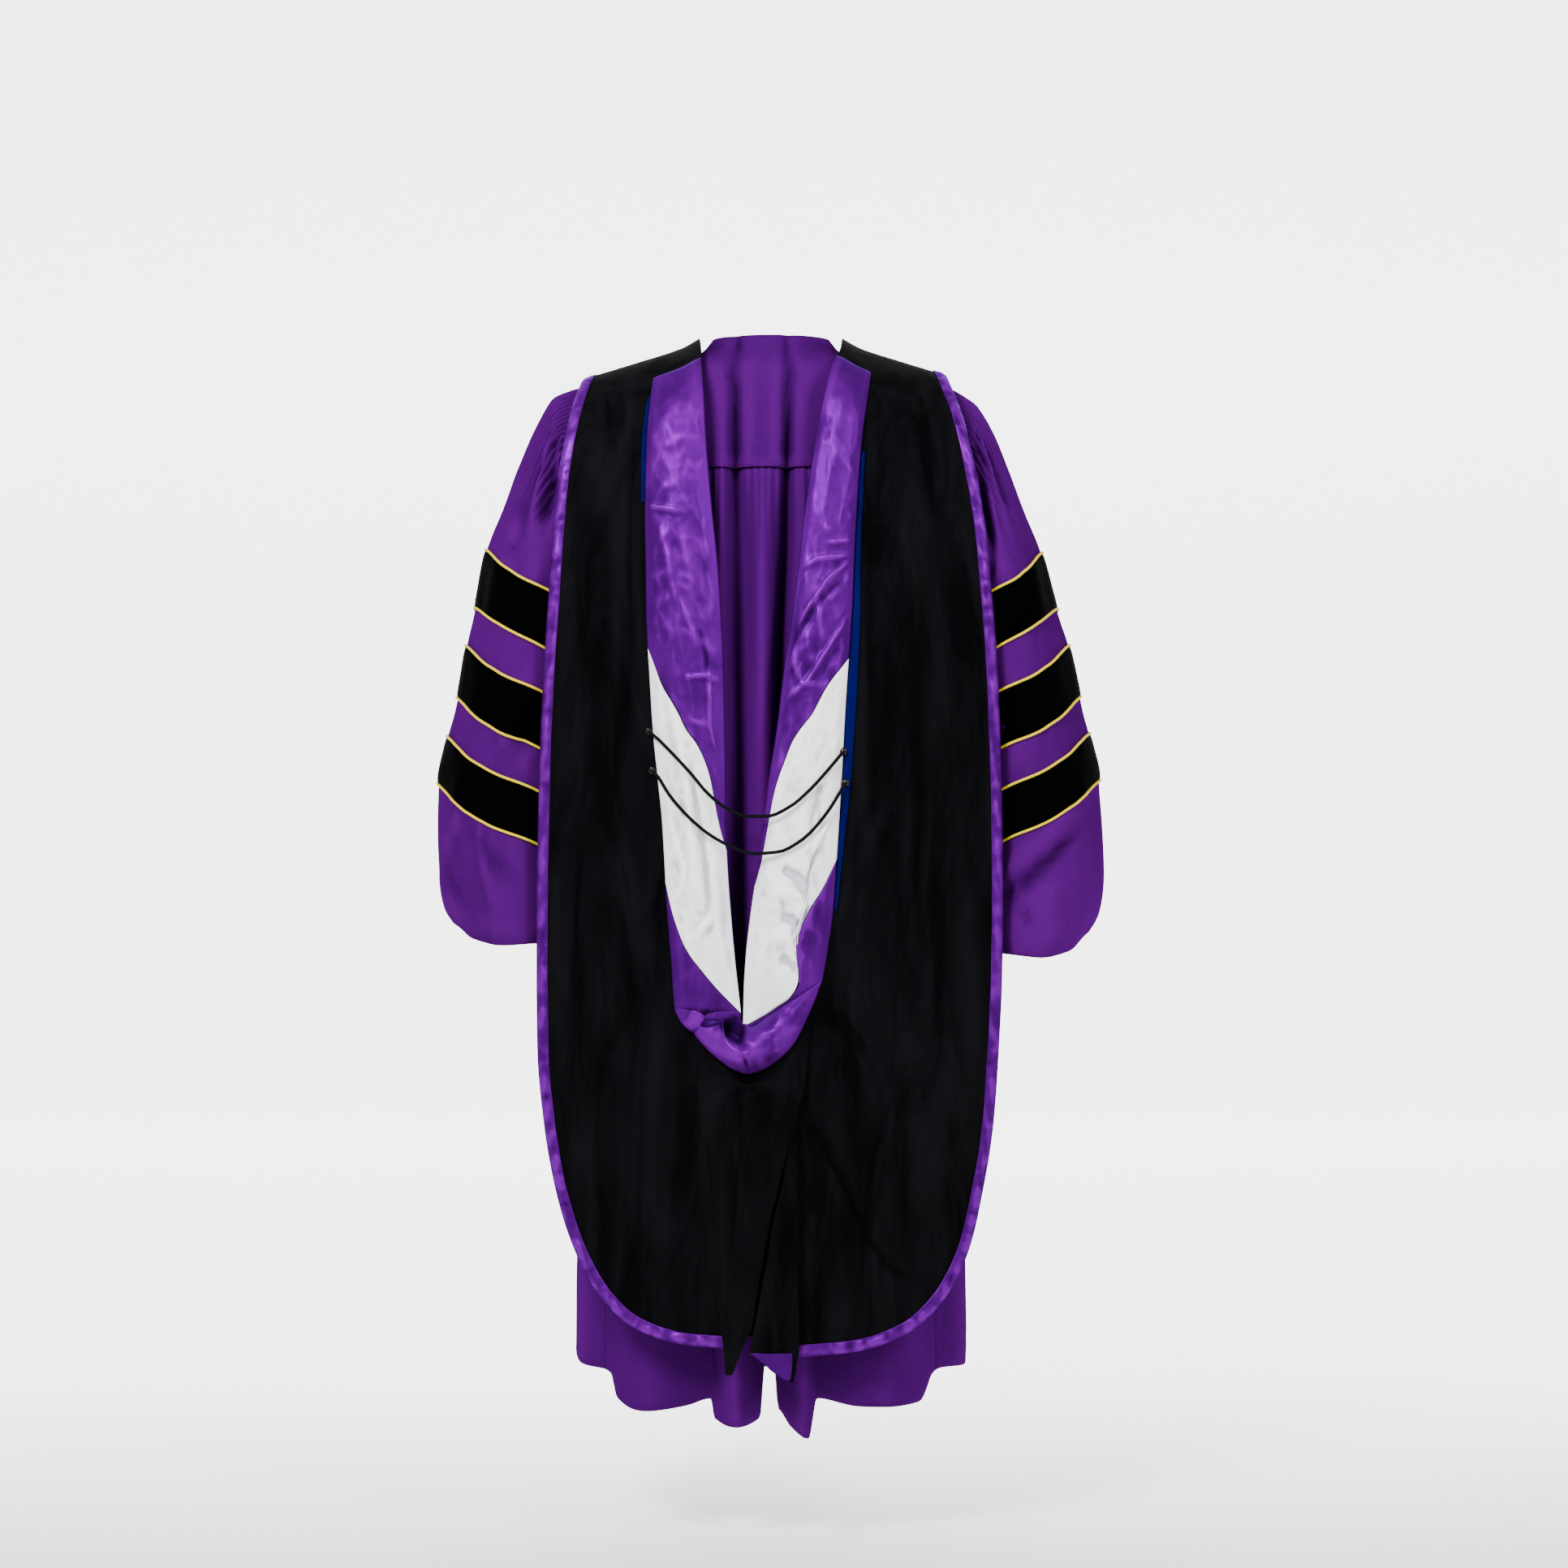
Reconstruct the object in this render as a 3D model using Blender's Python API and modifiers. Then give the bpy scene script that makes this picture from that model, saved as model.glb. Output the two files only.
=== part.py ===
"""Doctoral gown worn with its own hood, modelled as hollow cloth with no wearer.

Metres, +Z up. The origin is the middle of the neck base, where the wearer's shoulders hold the gown.
The front faces -Y, the back faces +Y, and the wearer's left is +X.
"""
import math

import bmesh
import bpy
import numpy as np
from mathutils import Vector

# Walls, seams and what lies on the cloth
GOWN_WALL = 0.0015
VELVET_WALL = 0.0018
SATIN_WALL = 0.0012
SEAM = 0.0003
YOKE_SEAM = 0.0006
LIE = 0.0004
HOOD_LIE = 0.0013

# How far apart two points of a surface are when its slope is measured
NORMAL_STEP = 0.002
NORMAL_STEP_DEG = 0.4

# Gown body: horizontal rings from the neck down to the hem
BODY_RINGS = {
    "columns": ("z", "half_width", "half_depth"),
    "rows": (
        (0.026, 0.072, 0.064),
        (0.010, 0.086, 0.072),
        (-0.002, 0.118, 0.080),
        (-0.014, 0.158, 0.088),
        (-0.030, 0.196, 0.096),
        (-0.060, 0.206, 0.108),
        (-0.100, 0.208, 0.120),
        (-0.140, 0.208, 0.128),
        (-0.200, 0.208, 0.136),
        (-0.290, 0.208, 0.144),
        (-0.400, 0.210, 0.149),
        (-0.550, 0.213, 0.155),
        (-0.700, 0.216, 0.161),
        (-0.850, 0.219, 0.166),
        (-1.000, 0.222, 0.172),
        (-1.130, 0.225, 0.178),
        (-1.280, 0.226, 0.184),
    ),
}
YOKE_LINE_Z = -0.140
FRONT_YOKE_Z = -0.100
HEM_Z = -1.272
SHOULDER_TIP_Z = -0.028
UNDERARM_Z = -0.290
ARMHOLE_SPREAD_DEG = 30.0
ARMHOLE_LAP_DEG = 1.2
GORE_SEAM_DEG = 60.0
NARROWEST_RADIUS = 0.150
BACK_COLUMNS = 31
YOKE_LEVELS = (0.026, 0.010, -0.002, -0.014, SHOULDER_TIP_Z, -0.045, -0.074)
UNDERARM_LEVELS = (-0.188, -0.242, -0.272, -0.300)
SKIRT_LEVELS = (-0.42, -0.55, -0.68, -0.81, -0.94, -1.06, -1.17, HEM_Z)

# V neck: how far round each front reaches at each height
NECK_V = {
    "columns": ("z", "reach_deg"),
    "rows": (
        (0.026, 96.0),
        (0.010, 112.0),
        (-0.002, 128.0),
        (-0.030, 148.0),
        (-0.060, 162.0),
        (-0.100, 174.0),
        (-0.140, 179.6),
        (-1.280, 179.6),
    ),
}

# Gathers that hang from the yoke: ridges at an even pitch, fading towards the hem
GATHER_PITCH = 0.048
BACK_GATHER_CENTRE = 0.006
BACK_GATHER_HALF_SPAN = 0.173
GATHER_FADE = 0.024
FRONT_GATHER_CENTRE = 0.104
FRONT_GATHER_HALF_SPAN = 0.075
GATHER_DEPTH = {
    "columns": ("z", "height"),
    "rows": (
        (-0.100, 0.0000),
        (-0.145, 0.0030),
        (-0.200, 0.0060),
        (-0.350, 0.0085),
        (-0.600, 0.0080),
        (-0.850, 0.0050),
        (-1.050, 0.0015),
        (-1.280, 0.0000),
    ),
}

# Hem folds: how far each ridge or recess stands out at the hem, round the body from the back centre
HEM_FOLDS = {
    "columns": ("round_deg", "out"),
    "rows": (
        (-180.0, 0.000), (-170.0, 0.012), (-158.0, -0.012), (-146.0, 0.012), (-133.0, -0.012),
        (-120.0, 0.012), (-108.0, -0.010), (-99.0, 0.006), (-90.0, -0.006), (-81.0, 0.004),
        (-70.0, 0.012), (-60.0, -0.008), (-35.0, 0.022), (-15.5, -0.020), (-8.5, 0.018), (0.0, -0.052),
        (9.5, 0.018), (19.5, -0.020), (37.0, 0.022), (60.0, -0.008), (69.0, 0.012),
        (81.0, 0.004), (90.0, -0.006), (99.0, 0.006), (108.0, -0.010), (120.0, 0.012), (133.0, -0.012),
        (146.0, 0.012), (158.0, -0.012), (170.0, 0.012), (180.0, 0.000),
    ),
}
HEM_FOLD_GROWTH = {
    "columns": ("z", "share"),
    "rows": ((-0.200, 0.0), (-0.400, 0.04), (-0.700, 0.22), (-0.950, 0.52), (-1.150, 0.84), (-1.280, 1.0)),
}
# The hem hangs lower at the back folds than at the sides
HEM_LEVEL = {
    "columns": ("round_deg", "raised"),
    "rows": (
        (-180.0, 0.004), (-92.0, 0.036), (-76.0, 0.034), (-62.0, 0.022), (-48.0, 0.006), (-35.0, 0.002),
        (-15.0, 0.004), (-8.5, -0.026), (-3.0, -0.008), (3.0, -0.004), (9.5, -0.018),
        (19.0, -0.004), (37.0, 0.004), (52.0, 0.012), (62.0, 0.026), (78.0, 0.036), (92.0, 0.038),
        (180.0, 0.004),
    ),
}

HEM_LEVEL_FROM_Z = -0.850

# Sleeve rings: the outer point, the inner point, the half depth front to back and how far the back droops
SLEEVE_RINGS = {
    "columns": ("t", "outer_x", "outer_z", "inner_x", "inner_z", "half_depth", "droop"),
    "rows": (
        (0.0, 0.212, -0.024, 0.208, -0.292, 0.066, 0.000),
        (1.0, 0.236, -0.032, 0.2125, -0.296, 0.078, 0.000),
        (2.0, 0.258, -0.048, 0.216, -0.300, 0.088, 0.000),
        (3.0, 0.279, -0.088, 0.219, -0.304, 0.096, 0.002),
        (4.0, 0.302, -0.140, 0.222, -0.308, 0.102, 0.004),
        (5.0, 0.326, -0.190, 0.224, -0.313, 0.107, 0.006),
        (6.0, 0.350, -0.236, 0.226, -0.319, 0.111, 0.008),
        (7.0, 0.365, -0.305, 0.228, -0.392, 0.115, 0.010),
        (8.0, 0.376, -0.351, 0.229, -0.444, 0.118, 0.011),
        (9.0, 0.388, -0.414, 0.230, -0.510, 0.121, 0.012),
        (10.0, 0.398, -0.462, 0.231, -0.560, 0.124, 0.012),
        (11.0, 0.411, -0.522, 0.232, -0.622, 0.128, 0.012),
        (12.0, 0.412, -0.575, 0.234, -0.655, 0.133, 0.010),
        (13.0, 0.410, -0.632, 0.236, -0.682, 0.138, 0.008),
        (14.0, 0.404, -0.672, 0.238, -0.698, 0.140, 0.006),
        (15.0, 0.392, -0.694, 0.240, -0.706, 0.138, 0.004),
    ),
}
SLEEVE_MESH_T = (0.0, 0.6, 1.3, 2.1, 3.2, 4.6, 6.0, 7.0, 8.0, 9.0, 10.0, 11.0, 12.2, 13.6, 15.0)
SLEEVE_SETTLED_T = 2.2
SLEEVE_MIDDLE = np.array([0.300, 0.0, -0.330])
HEAD_LIFT = 0.0010
SLEEVE_FINE_ROWS = 3
SLEEVE_THINNING = 3
SLEEVE_COLUMNS = 72
SLEEVE_GATHERED_SHARE = 2 / 3
SLEEVE_GATHERED_DEG = 80.0
SLEEVE_GATHER_FADE_DEG = 20.0
SLEEVE_FINE_WAVES = 24
SLEEVE_FOLDS = 5
SLEEVE_FOLD_TURN = 0.5
SLEEVE_GATHER_DEPTH = {
    "columns": ("t", "gather", "fold"),
    "rows": (
        (0.0, 0.0000, 0.000),
        (0.6, 0.0016, 0.001),
        (1.3, 0.0012, 0.003),
        (2.1, 0.0000, 0.006),
        (3.0, 0.0000, 0.008),
        (4.0, 0.0000, 0.007),
        (6.0, 0.0000, 0.004),
        (9.0, 0.0000, 0.003),
        (12.0, 0.0000, 0.005),
        (15.0, 0.0000, 0.007),
    ),
}
# Velvet bars and the corded piping along both their edges, by sleeve ring
BAR_EDGES = ((6.0, 7.0), (8.0, 9.0), (10.0, 11.0))
BAR_WALL = 0.0014
BAR_MARGIN = 0.036
PIPING_RADIUS = 0.0018

# Hood drape over the back: how far out the velvet hangs at the middle and at the side edge
HOOD_EDGE_X = 0.280
HOOD_BACK_CURVE = 2.2
HOOD_FRONT_HALF_WIDTH = 0.262
HOOD_FRONT_CURVE = 2.4
HOOD_DRAPE = {
    "columns": ("z", "middle_y", "edge_y"),
    "rows": (
        (0.050, 0.118, 0.070),
        (-0.060, 0.138, 0.086),
        (-0.150, 0.156, 0.100),
        (-0.250, 0.168, 0.112),
        (-0.400, 0.178, 0.124),
        (-0.550, 0.186, 0.134),
        (-0.700, 0.194, 0.142),
        (-0.850, 0.202, 0.150),
        (-1.000, 0.210, 0.156),
        (-1.200, 0.222, 0.166),
    ),
}
HOOD_FRONT = {
    "columns": ("z", "middle_y"),
    "rows": ((0.050, 0.112), (-0.060, 0.134), (-0.150, 0.150), (-0.250, 0.160), (-0.350, 0.166)),
}
SHOULDER_TOP = {
    "columns": ("x", "z"),
    "rows": (
        (0.000, 0.044), (0.070, 0.034), (0.110, 0.014), (0.160, -0.002), (0.200, -0.014), (0.230, -0.024),
        (0.300, -0.070),
    ),
}
SHOULDER_ROUND = 0.110
SHOULDER_FADE = (0.30, 0.05)
# Outer edge of each side of the hood. A drop below zero is in front of the shoulder.
HOOD_EDGE = {
    "columns": ("row", "left_x", "left_drop", "right_x", "right_drop", "inner_drop"),
    "rows": (
        (0.0, 0.036, -0.312, -0.036, -0.312, -0.290),
        (1.0, 0.085, -0.262, -0.085, -0.262, -0.240),
        (2.0, 0.132, -0.200, -0.132, -0.200, -0.180),
        (3.0, 0.172, -0.130, -0.172, -0.130, -0.120),
        (4.0, 0.198, -0.066, -0.198, -0.066, -0.066),
        (5.0, 0.207, -0.024, -0.206, -0.024, -0.024),
        (6.0, 0.209, 0.000, -0.207, 0.000, 0.000),
        (7.0, 0.213, 0.016, -0.209, 0.016, 0.016),
        (8.0, 0.222, 0.050, -0.217, 0.050, 0.050),
        (9.0, 0.236, 0.126, -0.232, 0.126, 0.126),
        (10.0, 0.248, 0.205, -0.243, 0.205, 0.205),
        (11.0, 0.256, 0.284, -0.253, 0.284, 0.290),
        (12.0, 0.264, 0.361, -0.261, 0.361, 0.370),
        (13.0, 0.271, 0.457, -0.268, 0.457, 0.460),
        (14.0, 0.275, 0.553, -0.273, 0.553, 0.555),
        (15.0, 0.277, 0.649, -0.274, 0.649, 0.650),
        (16.0, 0.276, 0.744, -0.272, 0.744, 0.740),
        (17.0, 0.273, 0.840, -0.268, 0.840, 0.818),
        (18.0, 0.264, 0.920, -0.260, 0.928, 0.890),
        (19.0, 0.249, 0.992, -0.244, 1.010, 0.960),
        (20.0, 0.225, 1.066, -0.226, 1.070, 1.025),
        (21.0, 0.186, 1.130, -0.190, 1.130, 1.080),
        (22.0, 0.144, 1.160, -0.144, 1.164, 1.118),
        (23.0, 0.096, 1.176, -0.096, 1.181, 1.144),
        (24.0, 0.048, 1.182, -0.048, 1.186, 1.160),
    ),
}
HOOD_BORDER = 0.014
BORDER_SEAM = 0.00045
HOOD_ROW_COUNT = 31
HOOD_COLUMNS = 7
# Seam where the two side panels meet below the slit
MEETING_SEAM = {
    "columns": ("drop", "x"),
    "rows": ((0.790, 0.0315), (0.860, 0.026), (0.980, 0.010), (1.080, 0.002), (1.200, 0.000)),
}
SLIT_END_DROP = 0.802

# Large soft folds of the velvet: a ridge, or a valley where the height is below zero, along a slanting line
HOOD_FOLDS = {
    "columns": ("x1", "z1", "x2", "z2", "half_width", "height"),
    "rows": (
        (0.180, -0.200, 0.252, -0.560, 0.020, 0.009),
        (0.166, -0.420, 0.190, -0.800, 0.020, 0.008),
        (0.100, -0.780, 0.096, -1.080, 0.022, -0.010),
        (0.200, -0.820, 0.180, -1.080, 0.030, 0.008),
        (-0.168, -0.160, -0.172, -0.640, 0.018, 0.009),
        (-0.118, -0.260, -0.122, -0.640, 0.016, -0.006),
        (-0.206, -0.400, -0.236, -0.560, 0.014, -0.006),
        (-0.086, -0.740, -0.142, -0.920, 0.018, -0.009),
        (-0.200, -0.800, -0.190, -1.060, 0.026, 0.007),
        (-0.066, -0.860, -0.062, -1.080, 0.018, -0.008),
    ),
}

FOLD_FADE = 0.060

# Satin lining turned out beside the slit: inner and outer edges of each strip on the back
STRIP_LEFT = {
    "columns": ("drop", "inner_x", "outer_x"),
    "rows": (
        (-0.290, 0.0010, 0.018), (-0.240, 0.021, 0.045), (-0.180, 0.046, 0.075), (-0.120, 0.067, 0.100),
        (-0.066, 0.079, 0.118), (-0.024, 0.085, 0.128), (0.000, 0.087, 0.132), (0.016, 0.085, 0.136),
        (0.050, 0.082, 0.142),
        (0.126, 0.077, 0.148), (0.205, 0.069, 0.149), (0.254, 0.063, 0.148), (0.322, 0.058, 0.147),
        (0.390, 0.055, 0.143), (0.457, 0.054, 0.139), (0.514, 0.053, 0.133), (0.562, 0.053, 0.128),
        (0.610, 0.051, 0.125), (0.668, 0.047, 0.122), (0.725, 0.042, 0.117), (0.783, 0.0375, 0.113),
        (0.802, 0.0345, 0.110),
    ),
}
STRIP_RIGHT = {
    "columns": ("drop", "inner_x", "outer_x"),
    "rows": (
        (-0.290, -0.0010, -0.018), (-0.240, -0.021, -0.045), (-0.180, -0.046, -0.075), (-0.120, -0.067, -0.100),
        (-0.066, -0.079, -0.116), (-0.024, -0.085, -0.122), (0.000, -0.087, -0.123), (0.016, -0.085, -0.122),
        (0.050, -0.074, -0.118),
        (0.126, -0.056, -0.108), (0.205, -0.041, -0.102), (0.254, -0.034, -0.099), (0.322, -0.025, -0.096),
        (0.390, -0.015, -0.091), (0.457, -0.007, -0.087), (0.514, 0.002, -0.084), (0.562, 0.008, -0.081),
        (0.610, 0.014, -0.078), (0.668, 0.020, -0.074), (0.725, 0.025, -0.066), (0.770, 0.0265, -0.057),
        (0.802, 0.0285, -0.048),
    ),
}
# Seams across each strip, from its outer to its inner edge: chevron top, chevron bottom, strip end
STRIP_SEAMS = {
    "left": {
        "start": (0.036, 0.036), "upper": (0.362, 0.580), "lower": (0.640, 0.770), "end": (0.783, 0.787),
    },
    "right": {
        "start": (0.036, 0.036), "upper": (0.380, 0.560), "lower": (0.620, 0.780), "end": (0.750, 0.799),
    },
}
STRIP_COLUMNS = 5
STRIP_SEAM = 0.0007
STRIP_PUFF = 0.010
STRIP_FILLS = (0.03, 0.12)
STRIP_EMPTIES = (0.80, 0.70)
STRIP_WRINKLE = 0.0012
STRIP_WRINKLE_PITCH = 0.080
# Lining turned round the bottom of the slit as a soft roll
ROLL = {
    "columns": ("s", "inner_x", "inner_drop", "outer_x", "outer_drop", "out"),
    "rows": (
        (0.0, 0.0372, 0.7880, 0.1127, 0.7840, 0.010),
        (1.0, 0.0368, 0.7905, 0.1080, 0.7980, 0.014),
        (2.0, 0.0362, 0.7935, 0.0940, 0.8130, 0.022),
        (3.0, 0.0352, 0.7970, 0.0670, 0.8400, 0.028),
        (4.0, 0.0336, 0.8000, 0.0430, 0.8570, 0.032),
        (5.0, 0.0314, 0.8020, 0.0270, 0.8620, 0.032),
        (6.0, 0.0290, 0.8022, 0.0090, 0.8570, 0.032),
        (7.0, 0.0262, 0.8010, -0.0240, 0.8310, 0.028),
        (8.0, 0.0232, 0.7980, -0.0480, 0.7860, 0.020),
        (9.0, 0.0200, 0.7930, -0.0610, 0.7520, 0.010),
    ),
}
ROLL_COLUMNS = 7
ROLL_LIE = 0.0020
# Blue edge beside each strip: how wide it shows at each drop
BLUE_EDGE = {
    "left": {"columns": ("drop", "width"), "rows": ((0.060, 0.003), (0.110, 0.005), (0.185, 0.004))},
    "right": {
        "columns": ("drop", "width"),
        "rows": (
            (0.135, 0.004), (0.300, 0.007), (0.420, 0.011), (0.500, 0.010), (0.620, 0.006), (0.700, 0.004),
        ),
    },
}
# Lower edge of the roll, where the velvet tail comes out from under it
ROLL_LOWER_EDGE = {
    "columns": ("x", "drop"),
    "rows": (
        (-0.061, 0.752), (-0.048, 0.786), (-0.024, 0.831), (0.009, 0.857), (0.027, 0.862), (0.043, 0.857),
        (0.067, 0.840), (0.094, 0.813),
    ),
}
TAIL_TUCK = 0.0035
BLUE_EDGE_GAP = {"left": 0.0006, "right": 0.0012}
# Pointed velvet folds hanging below the roll, with a corner of the lining between them
TAIL_MAIN = {
    "columns": ("drop", "left_x", "right_x", "lift"),
    "rows": (
        (0.820, 0.085, -0.048, 0.004), (0.875, 0.080, -0.040, 0.016), (0.904, 0.076, -0.030, 0.020),
        (0.943, 0.072, -0.021, 0.020), (0.983, 0.069, -0.0115, 0.020), (1.061, 0.063, 0.0060, 0.020),
        (1.121, 0.059, 0.0155, 0.020), (1.161, 0.056, 0.0225, 0.020), (1.187, 0.053, 0.0340, 0.020),
        (1.210, 0.0515, 0.0435, 0.020),
    ),
}
TAIL_SIDE = {
    "columns": ("drop", "left_x", "right_x", "lift"),
    "rows": (
        (0.943, -0.0215, -0.0265, 0.020), (0.983, -0.0145, -0.0280, 0.020), (1.042, -0.0045, -0.0300, 0.020),
        (1.121, 0.0020, -0.0320, 0.020), (1.169, 0.0060, -0.0330, 0.020), (1.193, -0.0060, -0.0320, 0.020),
        (1.218, -0.0225, -0.0275, 0.020),
    ),
}
TAIL_CORNER = {
    "columns": ("drop", "left_x", "right_x", "lift"),
    "rows": (
        (1.150, 0.022, -0.018, 0.0183), (1.186, 0.029, -0.022, 0.0183), (1.200, 0.010, -0.020, 0.0183),
        (1.213, -0.013, -0.019, 0.0183),
    ),
}
TAIL_PUFF = {"hood_tail_main": 0.012, "hood_tail_side": 0.009, "hood_tail_corner": 0.0}
TAIL_FULL_WIDTH = 0.050
# Cords that hang across the slit, by x, drop and how far they stand off
CORD_RADIUS = 0.0019
CORDS = {
    "upper": (
        (0.1440, 0.466, 0.0092), (0.1360, 0.479, 0.0140), (0.1150, 0.503, 0.0220), (0.0770, 0.533, 0.0230),
        (0.0480, 0.550, 0.0210), (0.0100, 0.559, 0.0200), (-0.0190, 0.552, 0.0210), (-0.0480, 0.525, 0.0220),
        (-0.0740, 0.499, 0.0180), (-0.0915, 0.484, 0.0112),
    ),
    "lower": (
        (0.1400, 0.518, 0.0092), (0.1330, 0.527, 0.0140), (0.1247, 0.537, 0.0190), (0.0960, 0.569, 0.0230),
        (0.0575, 0.595, 0.0210), (0.0190, 0.603, 0.0200), (-0.0144, 0.598, 0.0200), (-0.0480, 0.576, 0.0220),
        (-0.0720, 0.543, 0.0190), (-0.0895, 0.520, 0.0112),
    ),
}
BUTTON_LIFT = {"left": 0.0027, "right": 0.0045}
BUTTON_RADIUS = 0.0048
BUTTON_HEIGHT = 0.0045
BUTTON_SIDES = 12

MATERIALS = {
    "gown_cloth": ((0.168, 0.028, 0.330), 0.62),
    "black_velvet": ((0.006, 0.006, 0.008), 0.85),
    "purple_satin": ((0.215, 0.045, 0.480), 0.32),
    "white_satin": ((0.80, 0.80, 0.82), 0.35),
    "blue_velvet": ((0.010, 0.030, 0.250), 0.70),
    "gold_cord": ((0.760, 0.560, 0.090), 0.40),
    "black_cord": ((0.010, 0.010, 0.012), 0.45),
}


def clear_scene():
    for thing in list(bpy.data.objects):
        bpy.data.objects.remove(thing)


def make_materials():
    made = {}
    for name, (colour, roughness) in MATERIALS.items():
        material = bpy.data.materials.new(name)
        material.use_nodes = True
        shader = material.node_tree.nodes["Principled BSDF"]
        shader.inputs["Base Color"].default_value = (*colour, 1.0)
        shader.inputs["Roughness"].default_value = roughness
        made[name] = material
    return made


def smooth(edge0, edge1, value):
    share = np.clip((value - edge0) / (edge1 - edge0), 0.0, 1.0)
    return share * share * (3.0 - 2.0 * share)


def read(table, name, at):
    """A table's named column at a place along its first column, on a smooth curve that keeps to the rows."""
    rows = np.array(table["rows"], float)
    if rows[0, 0] > rows[-1, 0]:
        rows = rows[::-1]
    x, y = rows[:, 0], rows[:, table["columns"].index(name)]
    step = np.diff(x)
    slope = np.diff(y) / step
    tangent = np.empty_like(y)
    tangent[0], tangent[-1] = slope[0], slope[-1]
    before, after = slope[:-1], slope[1:]
    turns = before * after <= 0
    with np.errstate(divide="ignore", invalid="ignore"):
        weight1, weight2 = 2 * step[1:] + step[:-1], step[1:] + 2 * step[:-1]
        harmonic = (weight1 + weight2) / (weight1 / before + weight2 / after)
    tangent[1:-1] = np.where(turns, 0.0, harmonic)
    at = np.clip(np.asarray(at, float), x[0], x[-1])
    k = np.clip(np.searchsorted(x, at) - 1, 0, len(step) - 1)
    u = (at - x[k]) / step[k]
    return (
        (2 * u**3 - 3 * u**2 + 1) * y[k]
        + (u**3 - 2 * u**2 + u) * step[k] * tangent[k]
        + (-2 * u**3 + 3 * u**2) * y[k + 1]
        + (u**3 - u**2) * step[k] * tangent[k + 1]
    )


def normals_of(points):
    """Unit normals of rings of points, each ring closed on itself, pointing out of the rings."""
    around = np.roll(points, -1, axis=1) - np.roll(points, 1, axis=1)
    normal = np.cross(around, np.gradient(points, axis=0))
    normal = normal / np.linalg.norm(normal, axis=2, keepdims=True)
    away = points - points.mean(axis=1, keepdims=True)
    return normal if np.sum(normal * away) > 0 else -normal


def link(name, data, material):
    data.materials.append(material)
    body = bpy.data.objects.new(name, data)
    PARTS.objects.link(body)
    return body


def loft_faces(start, first, second, closed):
    """Triangles between a row of points and the next, which may have one for each few of the first."""
    each = first // second
    faces = []
    for j in range(first if closed else first - 1):
        k = (j + 1) % first
        near = start + first + j // each
        far = start + first + (j // each + 1) % second
        if each == 1:
            faces += [(start + j, start + k, far), (start + j, far, near)]
        elif (j + 1) % each:
            faces.append((start + j, start + k, near))
        else:
            faces += [(start + j, start + k, near), (start + k, far, near)]
    return faces


def cloth(name, rows, wall, away, material, closed=False):
    """A sheet lofted through rows of outer points, thickened inwards. away points out of its middle."""
    points, faces = [], []
    for row, following in zip(rows, rows[1:]):
        faces += loft_faces(len(points), len(row), len(following), closed)
        points += list(row)
    points += list(rows[-1])
    mesh = bpy.data.meshes.new(name)
    mesh.from_pydata([tuple(p) for p in points], [], faces)
    first = mesh.polygons[len(faces) // 2]
    if np.dot(first.normal, away) < 0:
        mesh.flip_normals()
    mesh.shade_smooth()
    sheet = link(name, mesh, material)
    thickness = sheet.modifiers.new("thickness", "SOLIDIFY")
    thickness.thickness = wall
    thickness.offset = -1.0
    return sheet


def cord(name, path, radius, detail, material, closed=False):
    """A round cord along a path, as a bevelled curve."""
    curve = bpy.data.curves.new(name, "CURVE")
    curve.dimensions = "3D"
    curve.bevel_depth = radius
    curve.bevel_resolution = detail
    curve.use_fill_caps = not closed
    line = curve.splines.new("POLY")
    line.points.add(len(path) - 1)
    for point, place in zip(line.points, path):
        point.co = (*place, 1.0)
    line.use_cyclic_u = closed
    return link(name, curve, material)


# Gown body


def gather_height(x, z, round_deg):
    """Ridges of the gathers below the yoke at the back and beside the front edge."""
    back = np.cos(2 * math.pi * (x - BACK_GATHER_CENTRE) / GATHER_PITCH)
    back = back * smooth(BACK_GATHER_HALF_SPAN, BACK_GATHER_HALF_SPAN - GATHER_FADE, np.abs(x))
    front = np.cos(2 * math.pi * (np.abs(x) - FRONT_GATHER_CENTRE) / GATHER_PITCH)
    away = np.abs(np.abs(x) - FRONT_GATHER_CENTRE)
    front = front * smooth(FRONT_GATHER_HALF_SPAN, FRONT_GATHER_HALF_SPAN - GATHER_FADE, away)
    is_back = np.abs(round_deg) <= 90.0
    return read(GATHER_DEPTH, "height", z) * np.where(is_back, back, front)


def body_surface(round_deg, level):
    """The gown's outer surface, at an angle from the back centre towards the wearer's left and a height."""
    angle = np.radians(round_deg)
    half_width = read(BODY_RINGS, "half_width", level)
    half_depth = read(BODY_RINGS, "half_depth", level)
    x = half_width * np.sin(angle)
    y = half_depth * np.cos(angle)
    out = gather_height(x, level, round_deg)
    out = out + read(HEM_FOLDS, "out", round_deg) * read(HEM_FOLD_GROWTH, "share", level)
    direction_x = np.sin(angle) / half_width
    direction_y = np.cos(angle) / half_depth
    length = np.hypot(direction_x, direction_y)
    raised = read(HEM_LEVEL, "raised", round_deg) * smooth(HEM_LEVEL_FROM_Z, HEM_Z, level)
    return np.stack(
        [x + out * direction_x / length, y + out * direction_y / length, level + raised], axis=-1
    )


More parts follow.
